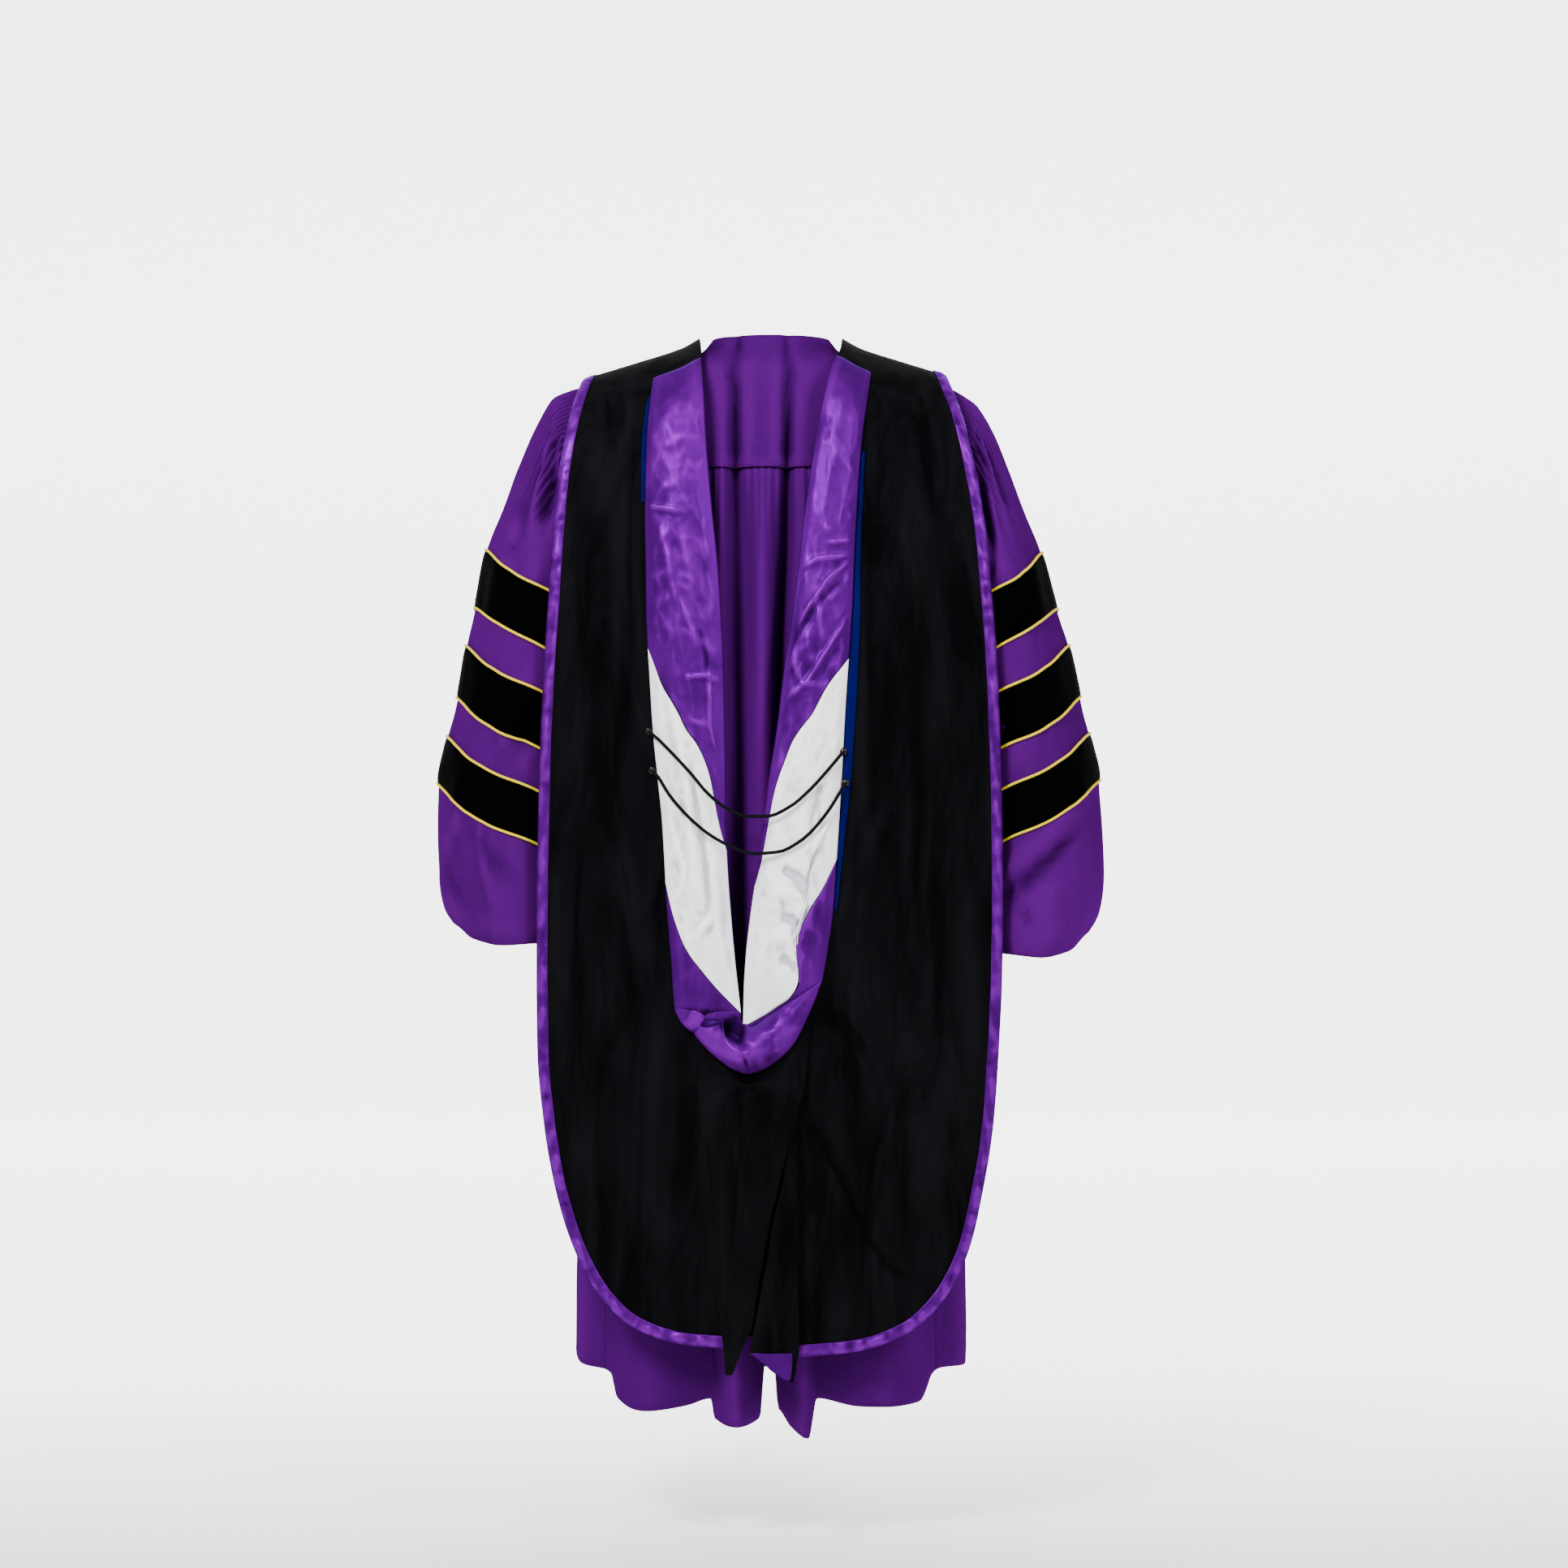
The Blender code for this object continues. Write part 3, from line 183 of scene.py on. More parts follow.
def gridCloth(name, points, material, wall=0.0, outward=None, closed=False, shade=0.0):
    # a grid whose points are moved to the places worked out for them; the wall goes inwards from there
    across, along = points.shape[0] - 1, points.shape[1] - 1
    shape = bmesh.new()
    bmesh.ops.create_grid(shape, x_segments=across, y_segments=along, size=1.0)
    mesh = bpy.data.meshes.new(name)
    shape.to_mesh(mesh)
    shape.free()
    flat = np.empty(len(mesh.vertices) * 3)
    mesh.vertices.foreach_get("co", flat)
    flat = flat.reshape(-1, 3)
    column = np.rint((flat[:, 0] + 1) / 2 * across).astype(int)
    row = np.rint((flat[:, 1] + 1) / 2 * along).astype(int)
    mesh.vertices.foreach_set("co", points[column, row].ravel())
    acrossBy, alongBy = metresAlong(points, 0), metresAlong(points, 1)
    fullAcross, fullAlong = acrossBy[-1:], alongBy[:, -1:]
    clothMap = np.stack([acrossBy - fullAcross / 2, alongBy], axis=-1)
    edgeMap = np.stack([np.minimum(acrossBy, fullAcross - acrossBy), fullAlong - alongBy], axis=-1)
    setMap(mesh, "clothMap", clothMap[column, row])
    setMap(mesh, "edgeMap", edgeMap[column, row])
    if outward is not None:
        # the fold map drives painted shade in folds and painted highlight on ridges; shade adds painted shade
        # over the whole piece
        depth = foldDepth(points, outward, closed) + shade
        setMap(mesh, "foldMap", np.stack([depth, 0 * depth], axis=-1)[column, row])
    mesh.update()
    shape = bmesh.new()
    shape.from_mesh(mesh)
    if closed:
        bmesh.ops.remove_doubles(shape, verts=shape.verts, dist=0.000004)
    if outward is None:
        turned = shape.calc_volume(signed=True) < 0
    else:
        lean = sum(face.normal.dot(Vector(outward(face.calc_center_median()))) for face in shape.faces)
        turned = lean < 0
    if turned:
        bmesh.ops.reverse_faces(shape, faces=shape.faces)
    shape.to_mesh(mesh)
    shape.free()
    mesh.shade_smooth()
    piece = addMesh(name, mesh, material)
    if wall:
        thickness = piece.modifiers.new("thickness", "SOLIDIFY")
        thickness.thickness = wall
        thickness.offset = -1.0
    return piece


def standsFor(piece, slot, *nodes):
    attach(piece, "root")
    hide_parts(*nodes)


def roundTube(name, path, radius, sides, material, facing):
    # a closed tube round a ring of points; facing gives the way each section's top looks
    ahead = np.roll(path, -1, axis=0) - np.roll(path, 1, axis=0)
    ahead = ahead / np.linalg.norm(ahead, axis=1, keepdims=True)
    up = facing - np.sum(facing * ahead, axis=1, keepdims=True) * ahead
    up = up / np.linalg.norm(up, axis=1, keepdims=True)
    side = np.cross(ahead, up)
    turn = np.linspace(0, 2 * math.pi, sides + 1)
    upwards, sideways = np.cos(turn)[:, None, None] * radius, np.sin(turn)[:, None, None] * radius
    rings = path[None] + up[None] * upwards + side[None] * sideways
    return gridCloth(name, np.concatenate([rings, rings[:, :1]], axis=1), material, closed=True)


# Camera: where the photograph was taken from
view = {"place": (-0.016, 4.6, -0.52), "turn": (math.radians(90), 0.0, math.radians(180)), "lens": 85.714}
cameraData = bpy.data.cameras.new("camera")
cameraData.lens = view["lens"]
cameraData.sensor_width = 36.0
cameraData.clip_end = 60.0
camera = bpy.data.objects.new("camera", cameraData)
camera.location = view["place"]
camera.rotation_euler = view["turn"]
bpy.context.scene.collection.objects.link(camera)
bpy.context.scene.camera = camera


# Finishes

def nodeMaterial(name, settings):
    material = bpy.data.materials.new(name)
    material.use_nodes = True
    tree = material.node_tree
    shader = tree.nodes["Principled BSDF"]
    for socket, value in settings.items():
        shader.inputs[socket].default_value = value
    return material, tree, shader


def place(tree, mapName, scale, turn=0.0):
    # places for a pattern: a named map of the cloth in metres, or the object's own coordinates
    if mapName == "object":
        source = tree.nodes.new("ShaderNodeTexCoord").outputs["Object"]
    else:
        source = tree.nodes.new("ShaderNodeUVMap")
        source.uv_map = mapName
        source = source.outputs["UV"]
    mapping = tree.nodes.new("ShaderNodeMapping")
    mapping.inputs["Scale"].default_value = scale
    mapping.inputs["Rotation"].default_value = (0.0, 0.0, turn)
    tree.links.new(source, mapping.inputs["Vector"])
    return mapping.outputs["Vector"]


def noise(tree, vector, detail=2.0, roughness=0.5, distortion=0.0):
    texture = tree.nodes.new("ShaderNodeTexNoise")
    texture.inputs["Scale"].default_value = 1.0
    texture.inputs["Detail"].default_value = detail
    texture.inputs["Roughness"].default_value = roughness
    texture.inputs["Distortion"].default_value = distortion
    tree.links.new(vector, texture.inputs["Vector"])
    return texture.outputs["Fac"]


def arithmetic(tree, operation, first, second):
    node = tree.nodes.new("ShaderNodeMath")
    node.operation = operation
    for socket, value in zip(node.inputs, (first, second)):
        if isinstance(value, (int, float)):
            socket.default_value = value
        else:
            tree.links.new(value, socket)
    return node.outputs[0]


def spread(tree, value, low, high, toLow, toHigh):
    node = tree.nodes.new("ShaderNodeMapRange")
    for socket, number in zip(("From Min", "From Max", "To Min", "To Max"), (low, high, toLow, toHigh)):
        node.inputs[socket].default_value = number
    tree.links.new(value, node.inputs["Value"])
    return node.outputs["Result"]


def blendColour(tree, share, first, second):
    node = tree.nodes.new("ShaderNodeMix")
    node.data_type = "RGBA"
    tree.links.new(share, node.inputs["Factor"])
    for socket, value in ((node.inputs["A"], first), (node.inputs["B"], second)):
        if isinstance(value, tuple):
            socket.default_value = (*value, 1.0)
        else:
            tree.links.new(value, socket)
    return node.outputs["Result"]


def bump(tree, shader, layers):
    # layers of height in metres and their strength, one on top of the other
    under = None
    for height, distance, strength in layers:
        node = tree.nodes.new("ShaderNodeBump")
        node.inputs["Distance"].default_value = distance
        node.inputs["Strength"].default_value = strength
        tree.links.new(height, node.inputs["Height"])
        if under is not None:
            tree.links.new(under, node.inputs["Normal"])
        under = node.outputs["Normal"]
    tree.links.new(under, shader.inputs["Normal"])


def mapParts(tree, mapName):
    # the two parts of a named map of the cloth
    source = tree.nodes.new("ShaderNodeUVMap")
    source.uv_map = mapName
    split = tree.nodes.new("ShaderNodeSeparateXYZ")
    tree.links.new(source.outputs["UV"], split.inputs["Vector"])
    return split.outputs["X"], split.outputs["Y"]


def foldShade(tree, low, high, most):
    # mask for painted shade: grows from 0 on open cloth to the most in the bottom of folds; a range below
    # zero makes it grow on ridges, as a mask for painted highlight
    depth, _ = mapParts(tree, "foldMap")
    return spread(tree, depth, low, high, 0.0, most)


def stitches(tree, fromEdge, pitch):
    # a row of thread a set distance in from the side edge: dashes along the cloth
    inward, along = mapParts(tree, "edgeMap")
    off = arithmetic(tree, "ABSOLUTE", arithmetic(tree, "SUBTRACT", inward, fromEdge), 0.0)
    line = spread(tree, off, 0.0003, 0.0006, 1.0, 0.0)
    dash = arithmetic(tree, "FRACT", arithmetic(tree, "MULTIPLY", along, 1.0 / pitch), 0.0)
    return arithmetic(tree, "MULTIPLY", line, spread(tree, dash, 0.62, 0.74, 1.0, 0.0))


# the lighter colour serves slubs, wear at the hem and painted highlight on fold ridges; the fold colour is
# painted shade in the bottom of folds
gownFinish = {
    "light": (0.047, 0.0002, 0.096), "deep": (0.032, 0.0002, 0.07), "worn": (0.075, 0.002, 0.135),
    "fold": (0.005, 0.0001, 0.014),
    "valleys": (0.04, 0.9, 0.88), "ridges": (-0.03, -0.26, 0.35), "weave": 0.00028, "slub": 0.22,
    "hemBand": 0.03,
}


def makeGownCloth():
    material, tree, shader = nodeMaterial("gownCloth", {
        "Roughness": 0.72, "Sheen Weight": 0.018, "Sheen Roughness": 0.5,
        "Sheen Tint": (0.6, 0.03, 0.95, 1.0),
        "Specular IOR Level": 0.0, "Specular Tint": (0.75, 0.1, 1.0, 1.0),
    })
    cloud = noise(tree, place(tree, "object", (5.0, 5.0, 2.4)), 3.0, 0.55)
    patches = spread(tree, cloud, 0.35, 0.65, 0.0, 1.0)
    colour = blendColour(tree, patches, gownFinish["deep"], gownFinish["light"])
    warp = noise(tree, place(tree, "clothMap", (1500.0, 70.0, 1.0)), 2.0, 0.6)
    weft = noise(tree, place(tree, "clothMap", (70.0, 1500.0, 1.0)), 2.0, 0.6)
    threads = arithmetic(tree, "ADD", warp, weft)
    slubs = spread(tree, threads, 0.8, 1.2, 0.0, gownFinish["slub"])
    colour = blendColour(tree, slubs, colour, gownFinish["worn"])
    _, fromHem = mapParts(tree, "edgeMap")
    hem = spread(tree, fromHem, 0.0, 0.003, 0.55, 0.0)
    colour = blendColour(tree, hem, colour, gownFinish["worn"])
    # painted highlight: fold ridges lightened toward the lighter colour
    colour = blendColour(tree, foldShade(tree, *gownFinish["ridges"]), colour, gownFinish["worn"])
    # painted shade: fold valleys darkened toward the fold colour
    colour = blendColour(tree, foldShade(tree, *gownFinish["valleys"]), colour, gownFinish["fold"])
    tree.links.new(colour, shader.inputs["Base Color"])
    hemOff = arithmetic(tree, "SUBTRACT", fromHem, gownFinish["hemBand"])
    hemLine = spread(tree, arithmetic(tree, "ABSOLUTE", hemOff, 0.0), 0.0, 0.0012, 0.0, 1.0)
    rumple = noise(tree, place(tree, "object", (26.0, 26.0, 9.0)), 2.0, 0.5)
    tree.links.new(spread(tree, cloud, 0.3, 0.7, 0.66, 0.78), shader.inputs["Roughness"])
    bump(tree, shader, [
        (rumple, 0.0012, 0.3), (hemLine, 0.0004, 0.35), (threads, gownFinish["weave"], 0.3),
    ])
    return material


# the ridge colour is painted highlight on fold ridges and the fold colour is painted shade in fold valleys
satinFinish = {
    "light": (0.078, 0.0001, 0.166), "deep": (0.044, 0.0001, 0.104), "fold": (0.008, 0.0001, 0.028),
    "ridge": (0.165, 0.002, 0.33), "crease": 0.0007, "pucker": 0.0004, "valleys": (0.01, 0.15, 0.78),
    "ridges": (-0.02, -0.12, 0.6), "stitchIn": 0.0016, "stitchPitch": 0.0026,
}


def makeSatin(name, settings, whiteness=False):
    material, tree, shader = nodeMaterial(name, {
        "Roughness": 0.3, "Anisotropic": 0.4, "Specular IOR Level": 0.5 if whiteness else 0.02,
        "Specular Tint": (1.0, 1.0, 1.0, 1.0) if whiteness else (0.45, 0.02, 0.9, 1.0),
        "Metallic": 0.0 if whiteness else 0.45,
    })
    cloud = noise(tree, place(tree, "object", (16.0, 16.0, 9.0)), 3.0, 0.55, 0.6)
    colour = blendColour(tree, spread(tree, cloud, 0.32, 0.68, 0.0, 1.0), settings["deep"], settings["light"])
    floats = noise(tree, place(tree, "clothMap", (60.0, 2200.0, 1.0)), 2.0, 0.6)
    colour = blendColour(tree, spread(tree, floats, 0.35, 0.65, 0.0, 0.14), colour, settings["deep"])
    thread = stitches(tree, satinFinish["stitchIn"], satinFinish["stitchPitch"])
    colour = blendColour(tree, thread, colour, settings["deep"])
    # painted highlight on fold ridges
    colour = blendColour(tree, foldShade(tree, *settings["ridges"]), colour, settings["ridge"])
    # painted shade in fold valleys
    colour = blendColour(tree, foldShade(tree, *settings["valleys"]), colour, settings["fold"])
    tree.links.new(colour, shader.inputs["Base Color"])
    crease = noise(tree, place(tree, "object", (38.0, 38.0, 22.0), 0.3), 1.0, 0.4, 0.3)
    pucker = noise(tree, place(tree, "object", (150.0, 150.0, 70.0)), 1.0, 0.4, 0.2)
    tree.links.new(spread(tree, cloud, 0.3, 0.7, 0.36, 0.5), shader.inputs["Roughness"])
    bump(tree, shader, [
        (crease, settings["crease"], 0.4), (pucker, settings["pucker"], 0.15), (floats, 0.00006, 0.15),
    ])
    return material


# as for the purple satin, the ridge colour is painted highlight and the fold colour painted shade
whiteFinish = {
    "light": (0.93, 0.93, 0.96), "deep": (0.84, 0.83, 0.88), "fold": (0.29, 0.26, 0.35),
    "ridge": (1.0, 1.0, 1.0), "crease": 0.0014, "pucker": 0.0006, "valleys": (0.005, 0.13, 0.72),
    "ridges": (-0.02, -0.1, 0.8),
}
velvetFinish = {
    "hood": {"light": (0.004, 0.004, 0.005), "deep": (0.0008, 0.0008, 0.0012), "sheen": 0.034},
    "bar": {"light": (0.0005, 0.0005, 0.0007), "deep": (0.0001, 0.0001, 0.0002), "sheen": 0.003},
    "blue": {"light": (0.0008, 0.0012, 0.062), "deep": (0.0004, 0.0006, 0.03), "sheen": 0.008},
}


def makeVelvet(name, settings, tint):
    material, tree, shader = nodeMaterial(name, {
        "Roughness": 0.92, "Sheen Weight": settings["sheen"], "Sheen Roughness": 0.38,
        "Sheen Tint": (*tint, 1.0), "Specular IOR Level": 0.01,
    })
    brushed = noise(tree, place(tree, "object", (22.0, 22.0, 4.0)), 4.0, 0.6, 0.8)
    flecks = noise(tree, place(tree, "object", (900.0, 900.0, 620.0)), 2.0, 0.6)
    nap = spread(tree, brushed, 0.36, 0.66, 0.0, 1.0)
    colour = blendColour(tree, nap, settings["deep"], settings["light"])
    colour = blendColour(tree, spread(tree, flecks, 0.45, 0.75, 0.0, 0.35), colour, settings["light"])
    colour = blendColour(tree, foldShade(tree, 0.03, 0.2, 0.6), colour, settings["deep"])
    tree.links.new(colour, shader.inputs["Base Color"])
    tree.links.new(spread(tree, brushed, 0.3, 0.7, 0.97, 0.84), shader.inputs["Roughness"])
    bump(tree, shader, [(brushed, 0.002, 0.3), (flecks, 0.00035, 0.45)])
    return material


def makeCordFinish(name, light, deep, gloss, mapName, strands):
    material, tree, shader = nodeMaterial(name, {
        "Roughness": 0.55, "Specular IOR Level": gloss, "Sheen Weight": 0.004, "Sheen Roughness": 0.4,
    })
    twist = tree.nodes.new("ShaderNodeTexWave")
    twist.inputs["Scale"].default_value = 1.0
    twist.inputs["Distortion"].default_value = 0.6
    twist.inputs["Detail"].default_value = 1.0
    tree.links.new(place(tree, mapName, (strands, strands * 0.62, strands)), twist.inputs["Vector"])
    fibres = noise(tree, place(tree, mapName, (2600.0, 420.0, 2600.0)), 2.0, 0.6)
    colour = blendColour(tree, twist.outputs["Fac"], deep, light)
    colour = blendColour(tree, spread(tree, fibres, 0.4, 0.7, 0.0, 0.3), colour, light)
    tree.links.new(colour, shader.inputs["Base Color"])
    bump(tree, shader, [(twist.outputs["Fac"], 0.00022, 0.55), (fibres, 0.00008, 0.4)])
    return material


gownCloth = makeGownCloth()
purpleSatin = makeSatin("purpleSatin", satinFinish)
whiteSatin = makeSatin("whiteSatin", whiteFinish, whiteness=True)
hoodVelvet = makeVelvet("hoodVelvet", velvetFinish["hood"], (0.6, 0.6, 0.66))
barVelvet = makeVelvet("barVelvet", velvetFinish["bar"], (0.5, 0.5, 0.6))
blueVelvet = makeVelvet("blueVelvet", velvetFinish["blue"], (0.2, 0.35, 0.9))
goldCord = makeCordFinish("goldCord", (0.86, 0.66, 0.001), (0.62, 0.4, 0.0005), 0.02, "clothMap", 900.0)
blackCord = makeCordFinish("blackCord", (0.006, 0.006, 0.007), (0.0012, 0.0012, 0.0016), 0.03, "object",
                           1100.0)
blackButton, buttonTree, buttonShader = nodeMaterial("blackButton", {
    "Roughness": 0.35, "Specular IOR Level": 0.25, "Coat Weight": 0.06,
})
grime = noise(buttonTree, place(buttonTree, "object", (400.0, 400.0, 400.0)), 3.0, 0.6)
buttonColour = blendColour(buttonTree, grime, (0.001, 0.001, 0.0012), (0.0045, 0.0045, 0.0052))
buttonTree.links.new(buttonColour, buttonShader.inputs["Base Color"])
buttonTree.links.new(spread(buttonTree, grime, 0.3, 0.7, 0.18, 0.36), buttonShader.inputs["Roughness"])
print("finishes made")


# Hood surface, which the panels, lining, tail, cords and buttons lie on

hoodShape = {
    "edgeX": 0.28, "backCurve": 2.2, "frontHalfWidth": 0.262, "frontCurve": 2.4, "shoulderRound": 0.11,
    "wall": 0.0018, "satinWall": 0.0012, "lie": 0.0013, "seam": 0.0003,
}
hoodDrape = {
    "columns": ("z", "middleY", "edgeY"),
    "rows": (
        (0.05, 0.118, 0.07), (-0.06, 0.138, 0.086), (-0.15, 0.156, 0.1), (-0.25, 0.168, 0.112),
        (-0.4, 0.178, 0.124), (-0.55, 0.186, 0.134), (-0.7, 0.194, 0.142), (-0.85, 0.202, 0.15),
        (-1.0, 0.21, 0.156), (-1.2, 0.222, 0.166),
    ),
}
hoodFront = {
    "columns": ("z", "middleY"),
    "rows": ((0.05, 0.112), (-0.06, 0.134), (-0.15, 0.15), (-0.25, 0.16), (-0.35, 0.166)),
}
shoulderTop = {
    "columns": ("x", "z"),
    "rows": (
        (0.0, 0.044), (0.07, 0.034), (0.11, 0.014), (0.16, -0.002), (0.2, -0.014), (0.23, -0.024),
        (0.3, -0.07),
    ),
}
hoodFolds = {
    "columns": ("height", "startWidth", "endWidth", "path"),
    "rows": (
        (0.009, 0.016, 0.02, ((0.184, -0.2), (0.212, -0.35), (0.25, -0.56))),
        (0.008, 0.016, 0.02, ((0.164, -0.42), (0.178, -0.6), (0.192, -0.8))),
        (-0.006, 0.012, 0.014, ((0.214, -0.37), (0.206, -0.56))),
        (-0.01, 0.018, 0.022, ((0.106, -0.78), (0.096, -1.08))),
        (0.008, 0.02, 0.03, ((0.2, -0.82), (0.18, -1.08))),
        (0.004, 0.007, 0.01, ((0.166, -0.74), (0.168, -0.85))),
        (0.009, 0.014, 0.018, ((-0.166, -0.16), (-0.162, -0.4), (-0.164, -0.5), (-0.176, -0.64))),
        (-0.007, 0.012, 0.014, ((-0.118, -0.24), (-0.12, -0.62))),
        (-0.006, 0.012, 0.014, ((-0.222, -0.37), (-0.228, -0.56))),
        (-0.006, 0.01, 0.01, ((-0.072, -0.78), (-0.12, -0.85))),
        (-0.006, 0.006, 0.005, (
            (-0.032, -0.912), (-0.06, -0.944), (-0.08, -0.98), (-0.098, -1.022), (-0.116, -1.06),
            (-0.14, -1.09), (-0.186, -1.118),
        )),
        (0.006, 0.01, 0.008, ((-0.048, -0.9), (-0.082, -0.944), (-0.104, -0.99), (-0.124, -1.034))),
        (0.006, 0.008, 0.01, ((-0.172, -0.98), (-0.17, -1.04))),
        (0.007, 0.026, 0.03, ((-0.206, -0.8), (-0.196, -1.06))),
        (-0.01, 0.016, 0.018, ((-0.052, -0.9), (-0.054, -1.06))),
        (-0.016, 0.014, 0.012, ((0.092, -0.796), (0.062, -0.812), (0.036, -0.822))),
    ),
}
hoodRipples = {"broad": (0.0013, 17.0, 4.2, 3), "fine": (0.0004, 60.0, 18.0, 7)}


def hoodSurface(x, drop):
    # the hood's outer face; a drop below zero is on the front of the shoulder, above zero on the back
    x, drop = np.broadcast_arrays(np.asarray(x, float), np.asarray(drop, float))
    fall = np.abs(drop)
    level = readTable(shoulderTop, "z", np.abs(x)) * smoothStep(0.3, 0.05, fall) - fall
    middle, edge = readTable(hoodDrape, "middleY", level), readTable(hoodDrape, "edgeY", level)
    bow = np.minimum(np.abs(x) / hoodShape["edgeX"], 1.1) ** hoodShape["backCurve"]
    ripples = rumple(hoodRipples["broad"], x, level) + rumple(hoodRipples["fine"], x, level)
    back = middle - (middle - edge) * bow + foldHeight(hoodFolds, x, level) + ripples
    chest = 1 - (np.abs(x) / hoodShape["frontHalfWidth"]) ** hoodShape["frontCurve"]
    front = readTable(hoodFront, "middleY", level) * np.sqrt(np.clip(chest, 0.05, 1)) + ripples
    rounding = np.sqrt(np.clip(1 - (1 - np.minimum(fall / hoodShape["shoulderRound"], 1)) ** 2, 0, 1))
    y = np.where(drop >= 0, back * rounding, -front * rounding)
    return np.stack([x, y, level], axis=-1)


def hoodNormal(x, drop):
    step = 0.002
    across = hoodSurface(x + step, drop) - hoodSurface(x - step, drop)
    down = hoodSurface(x, drop + step) - hoodSurface(x, drop - step)
    normal = np.cross(across, down)
    normal = normal / np.linalg.norm(normal, axis=-1, keepdims=True)
    flip = np.where(normal[..., 1] * np.where(drop >= 0, 1, -1) < 0, -1.0, 1.0)
    return normal * flip[..., None]


def onHood(x, drop, lift):
    return hoodSurface(x, drop) + hoodNormal(x, drop) * np.broadcast_to(lift, np.shape(x))[..., None]


def awayFromWearer(place):
    return (place.x * 0.2, place.y, 0.0)


# Cords across the slit, with both ends under their buttons

hoodCords = {
    "columns": ("x", "drop", "off"),
    "upper": (
        (0.144, 0.4583, 0.0092), (0.1345, 0.4655, 0.014), (0.0962, 0.5048, 0.0225), (0.0743, 0.5305, 0.023),
        (0.0533, 0.5476, 0.0215), (0.0267, 0.5581, 0.0205), (0.0038, 0.5581, 0.02),
        (-0.0228, 0.5467, 0.0215), (-0.0466, 0.5267, 0.022), (-0.07, 0.501, 0.0185),
        (-0.086, 0.482, 0.0112),
    ),
    "lower": (
        (0.14, 0.5045, 0.0092), (0.1333, 0.511, 0.014), (0.119, 0.5333, 0.019), (0.0952, 0.56, 0.023),
        (0.0724, 0.579, 0.0225), (0.0486, 0.5924, 0.021), (0.02, 0.6019, 0.02), (-0.0086, 0.6, 0.02),
        (-0.0371, 0.5857, 0.0215), (-0.0657, 0.5552, 0.02), (-0.0885, 0.519, 0.0112),
    ),
    "diameter": 0.0041, "upperLength": 0.315, "lowerLength": 0.325, "points": 37,
}


def makeCord(name):
    rows = hoodCords[name]
    at = np.linspace(0, len(rows) - 1, hoodCords["points"])
    x, drop, off = (
        readTable({"columns": ("point", "value"), "rows": tuple(enumerate(values))}, "value", at)
        for values in zip(*rows)
    )
    path = hoodSurface(x, drop)
    path[:, 1] += off
    curve = bpy.data.curves.new(f"hoodCord_{name}", "CURVE")
    curve.dimensions = "3D"
    curve.bevel_depth = hoodCords["diameter"] / 2
    curve.bevel_resolution = 5
    curve.use_fill_caps = True
    line = curve.splines.new("POLY")
    line.points.add(len(path) - 1)
    for point, spot in zip(line.points, path):
        point.co = (*spot, 1.0)
    curve.materials.append(blackCord)
    piece = bpy.data.objects.new(f"hoodCord_{name}", curve)
    bpy.context.scene.collection.objects.link(piece)
    standsFor(piece, "black_cord", f"hood_cord_{name}")
    return path


for cordName in ("upper", "lower"):
    cordPath = makeCord(cordName)
    measured = np.linalg.norm(np.diff(cordPath, axis=0), axis=1).sum()
    print(f"cord {cordName} {measured:.4f} m")


buttonShape = {
    "radius": 0.0048, "topShare": 0.86, "height": 0.0045, "liftLeft": 0.0027, "liftRight": 0.0045,
    "rim": 0.0007, "groove": 0.0004, "dish": 0.0005, "dome": 0.0012, "bevel": 0.00025, "sharpTurn": 0.5,
}


def makeButton(name, node, x, drop, lift):
    # a domed button with a raised rim
    shape = bmesh.new()
    bmesh.ops.create_cone(
        shape, cap_ends=True, segments=28,
        radius1=buttonShape["radius"], radius2=buttonShape["radius"] * buttonShape["topShare"],
        depth=buttonShape["height"],
    )
    caps = [face for face in shape.faces if len(face.verts) > 4]
    top = max(caps, key=lambda face: face.calc_center_median().z)
    bmesh.ops.inset_region(shape, faces=[top], thickness=buttonShape["rim"])
    dish = buttonShape["dish"]
    bmesh.ops.inset_region(shape, faces=[top], thickness=buttonShape["groove"], depth=-dish)
    bmesh.ops.inset_region(shape, faces=[top], thickness=buttonShape["dome"], depth=dish)
    sharp = buttonShape["sharpTurn"]
    rims = [edge for edge in shape.edges if edge.is_manifold and edge.calc_face_angle() > sharp]
    bmesh.ops.bevel(
        shape, geom=rims, offset=buttonShape["bevel"], segments=2, profile=0.5, affect="EDGES", material=-1,
    )
    normal = Vector(hoodNormal(np.array([x]), np.array([drop]))[0])
    turn = normal.to_track_quat("Z", "Y").to_matrix().to_4x4()
    turn.translation = Vector(hoodSurface(x, drop)) + normal * (lift + buttonShape["height"] / 2)
    bmesh.ops.transform(shape, matrix=turn, verts=shape.verts)
    bmesh.ops.recalc_face_normals(shape, faces=shape.faces)
    mesh = bpy.data.meshes.new(name)
    shape.to_mesh(mesh)
    shape.free()
    standsFor(addMesh(name, mesh, blackButton), "black_button", node)


for cordName in ("upper", "lower"):
    for side, k in (("left", 0), ("right", -1)):
        x, drop, _ = hoodCords[cordName][k]
        makeButton(f"hoodButton_{cordName}_{side}", f"hood_button_{cordName}_{side}", x, drop,
                   buttonShape[f"lift{side.capitalize()}"])
print("cords and buttons made")


# Gown body

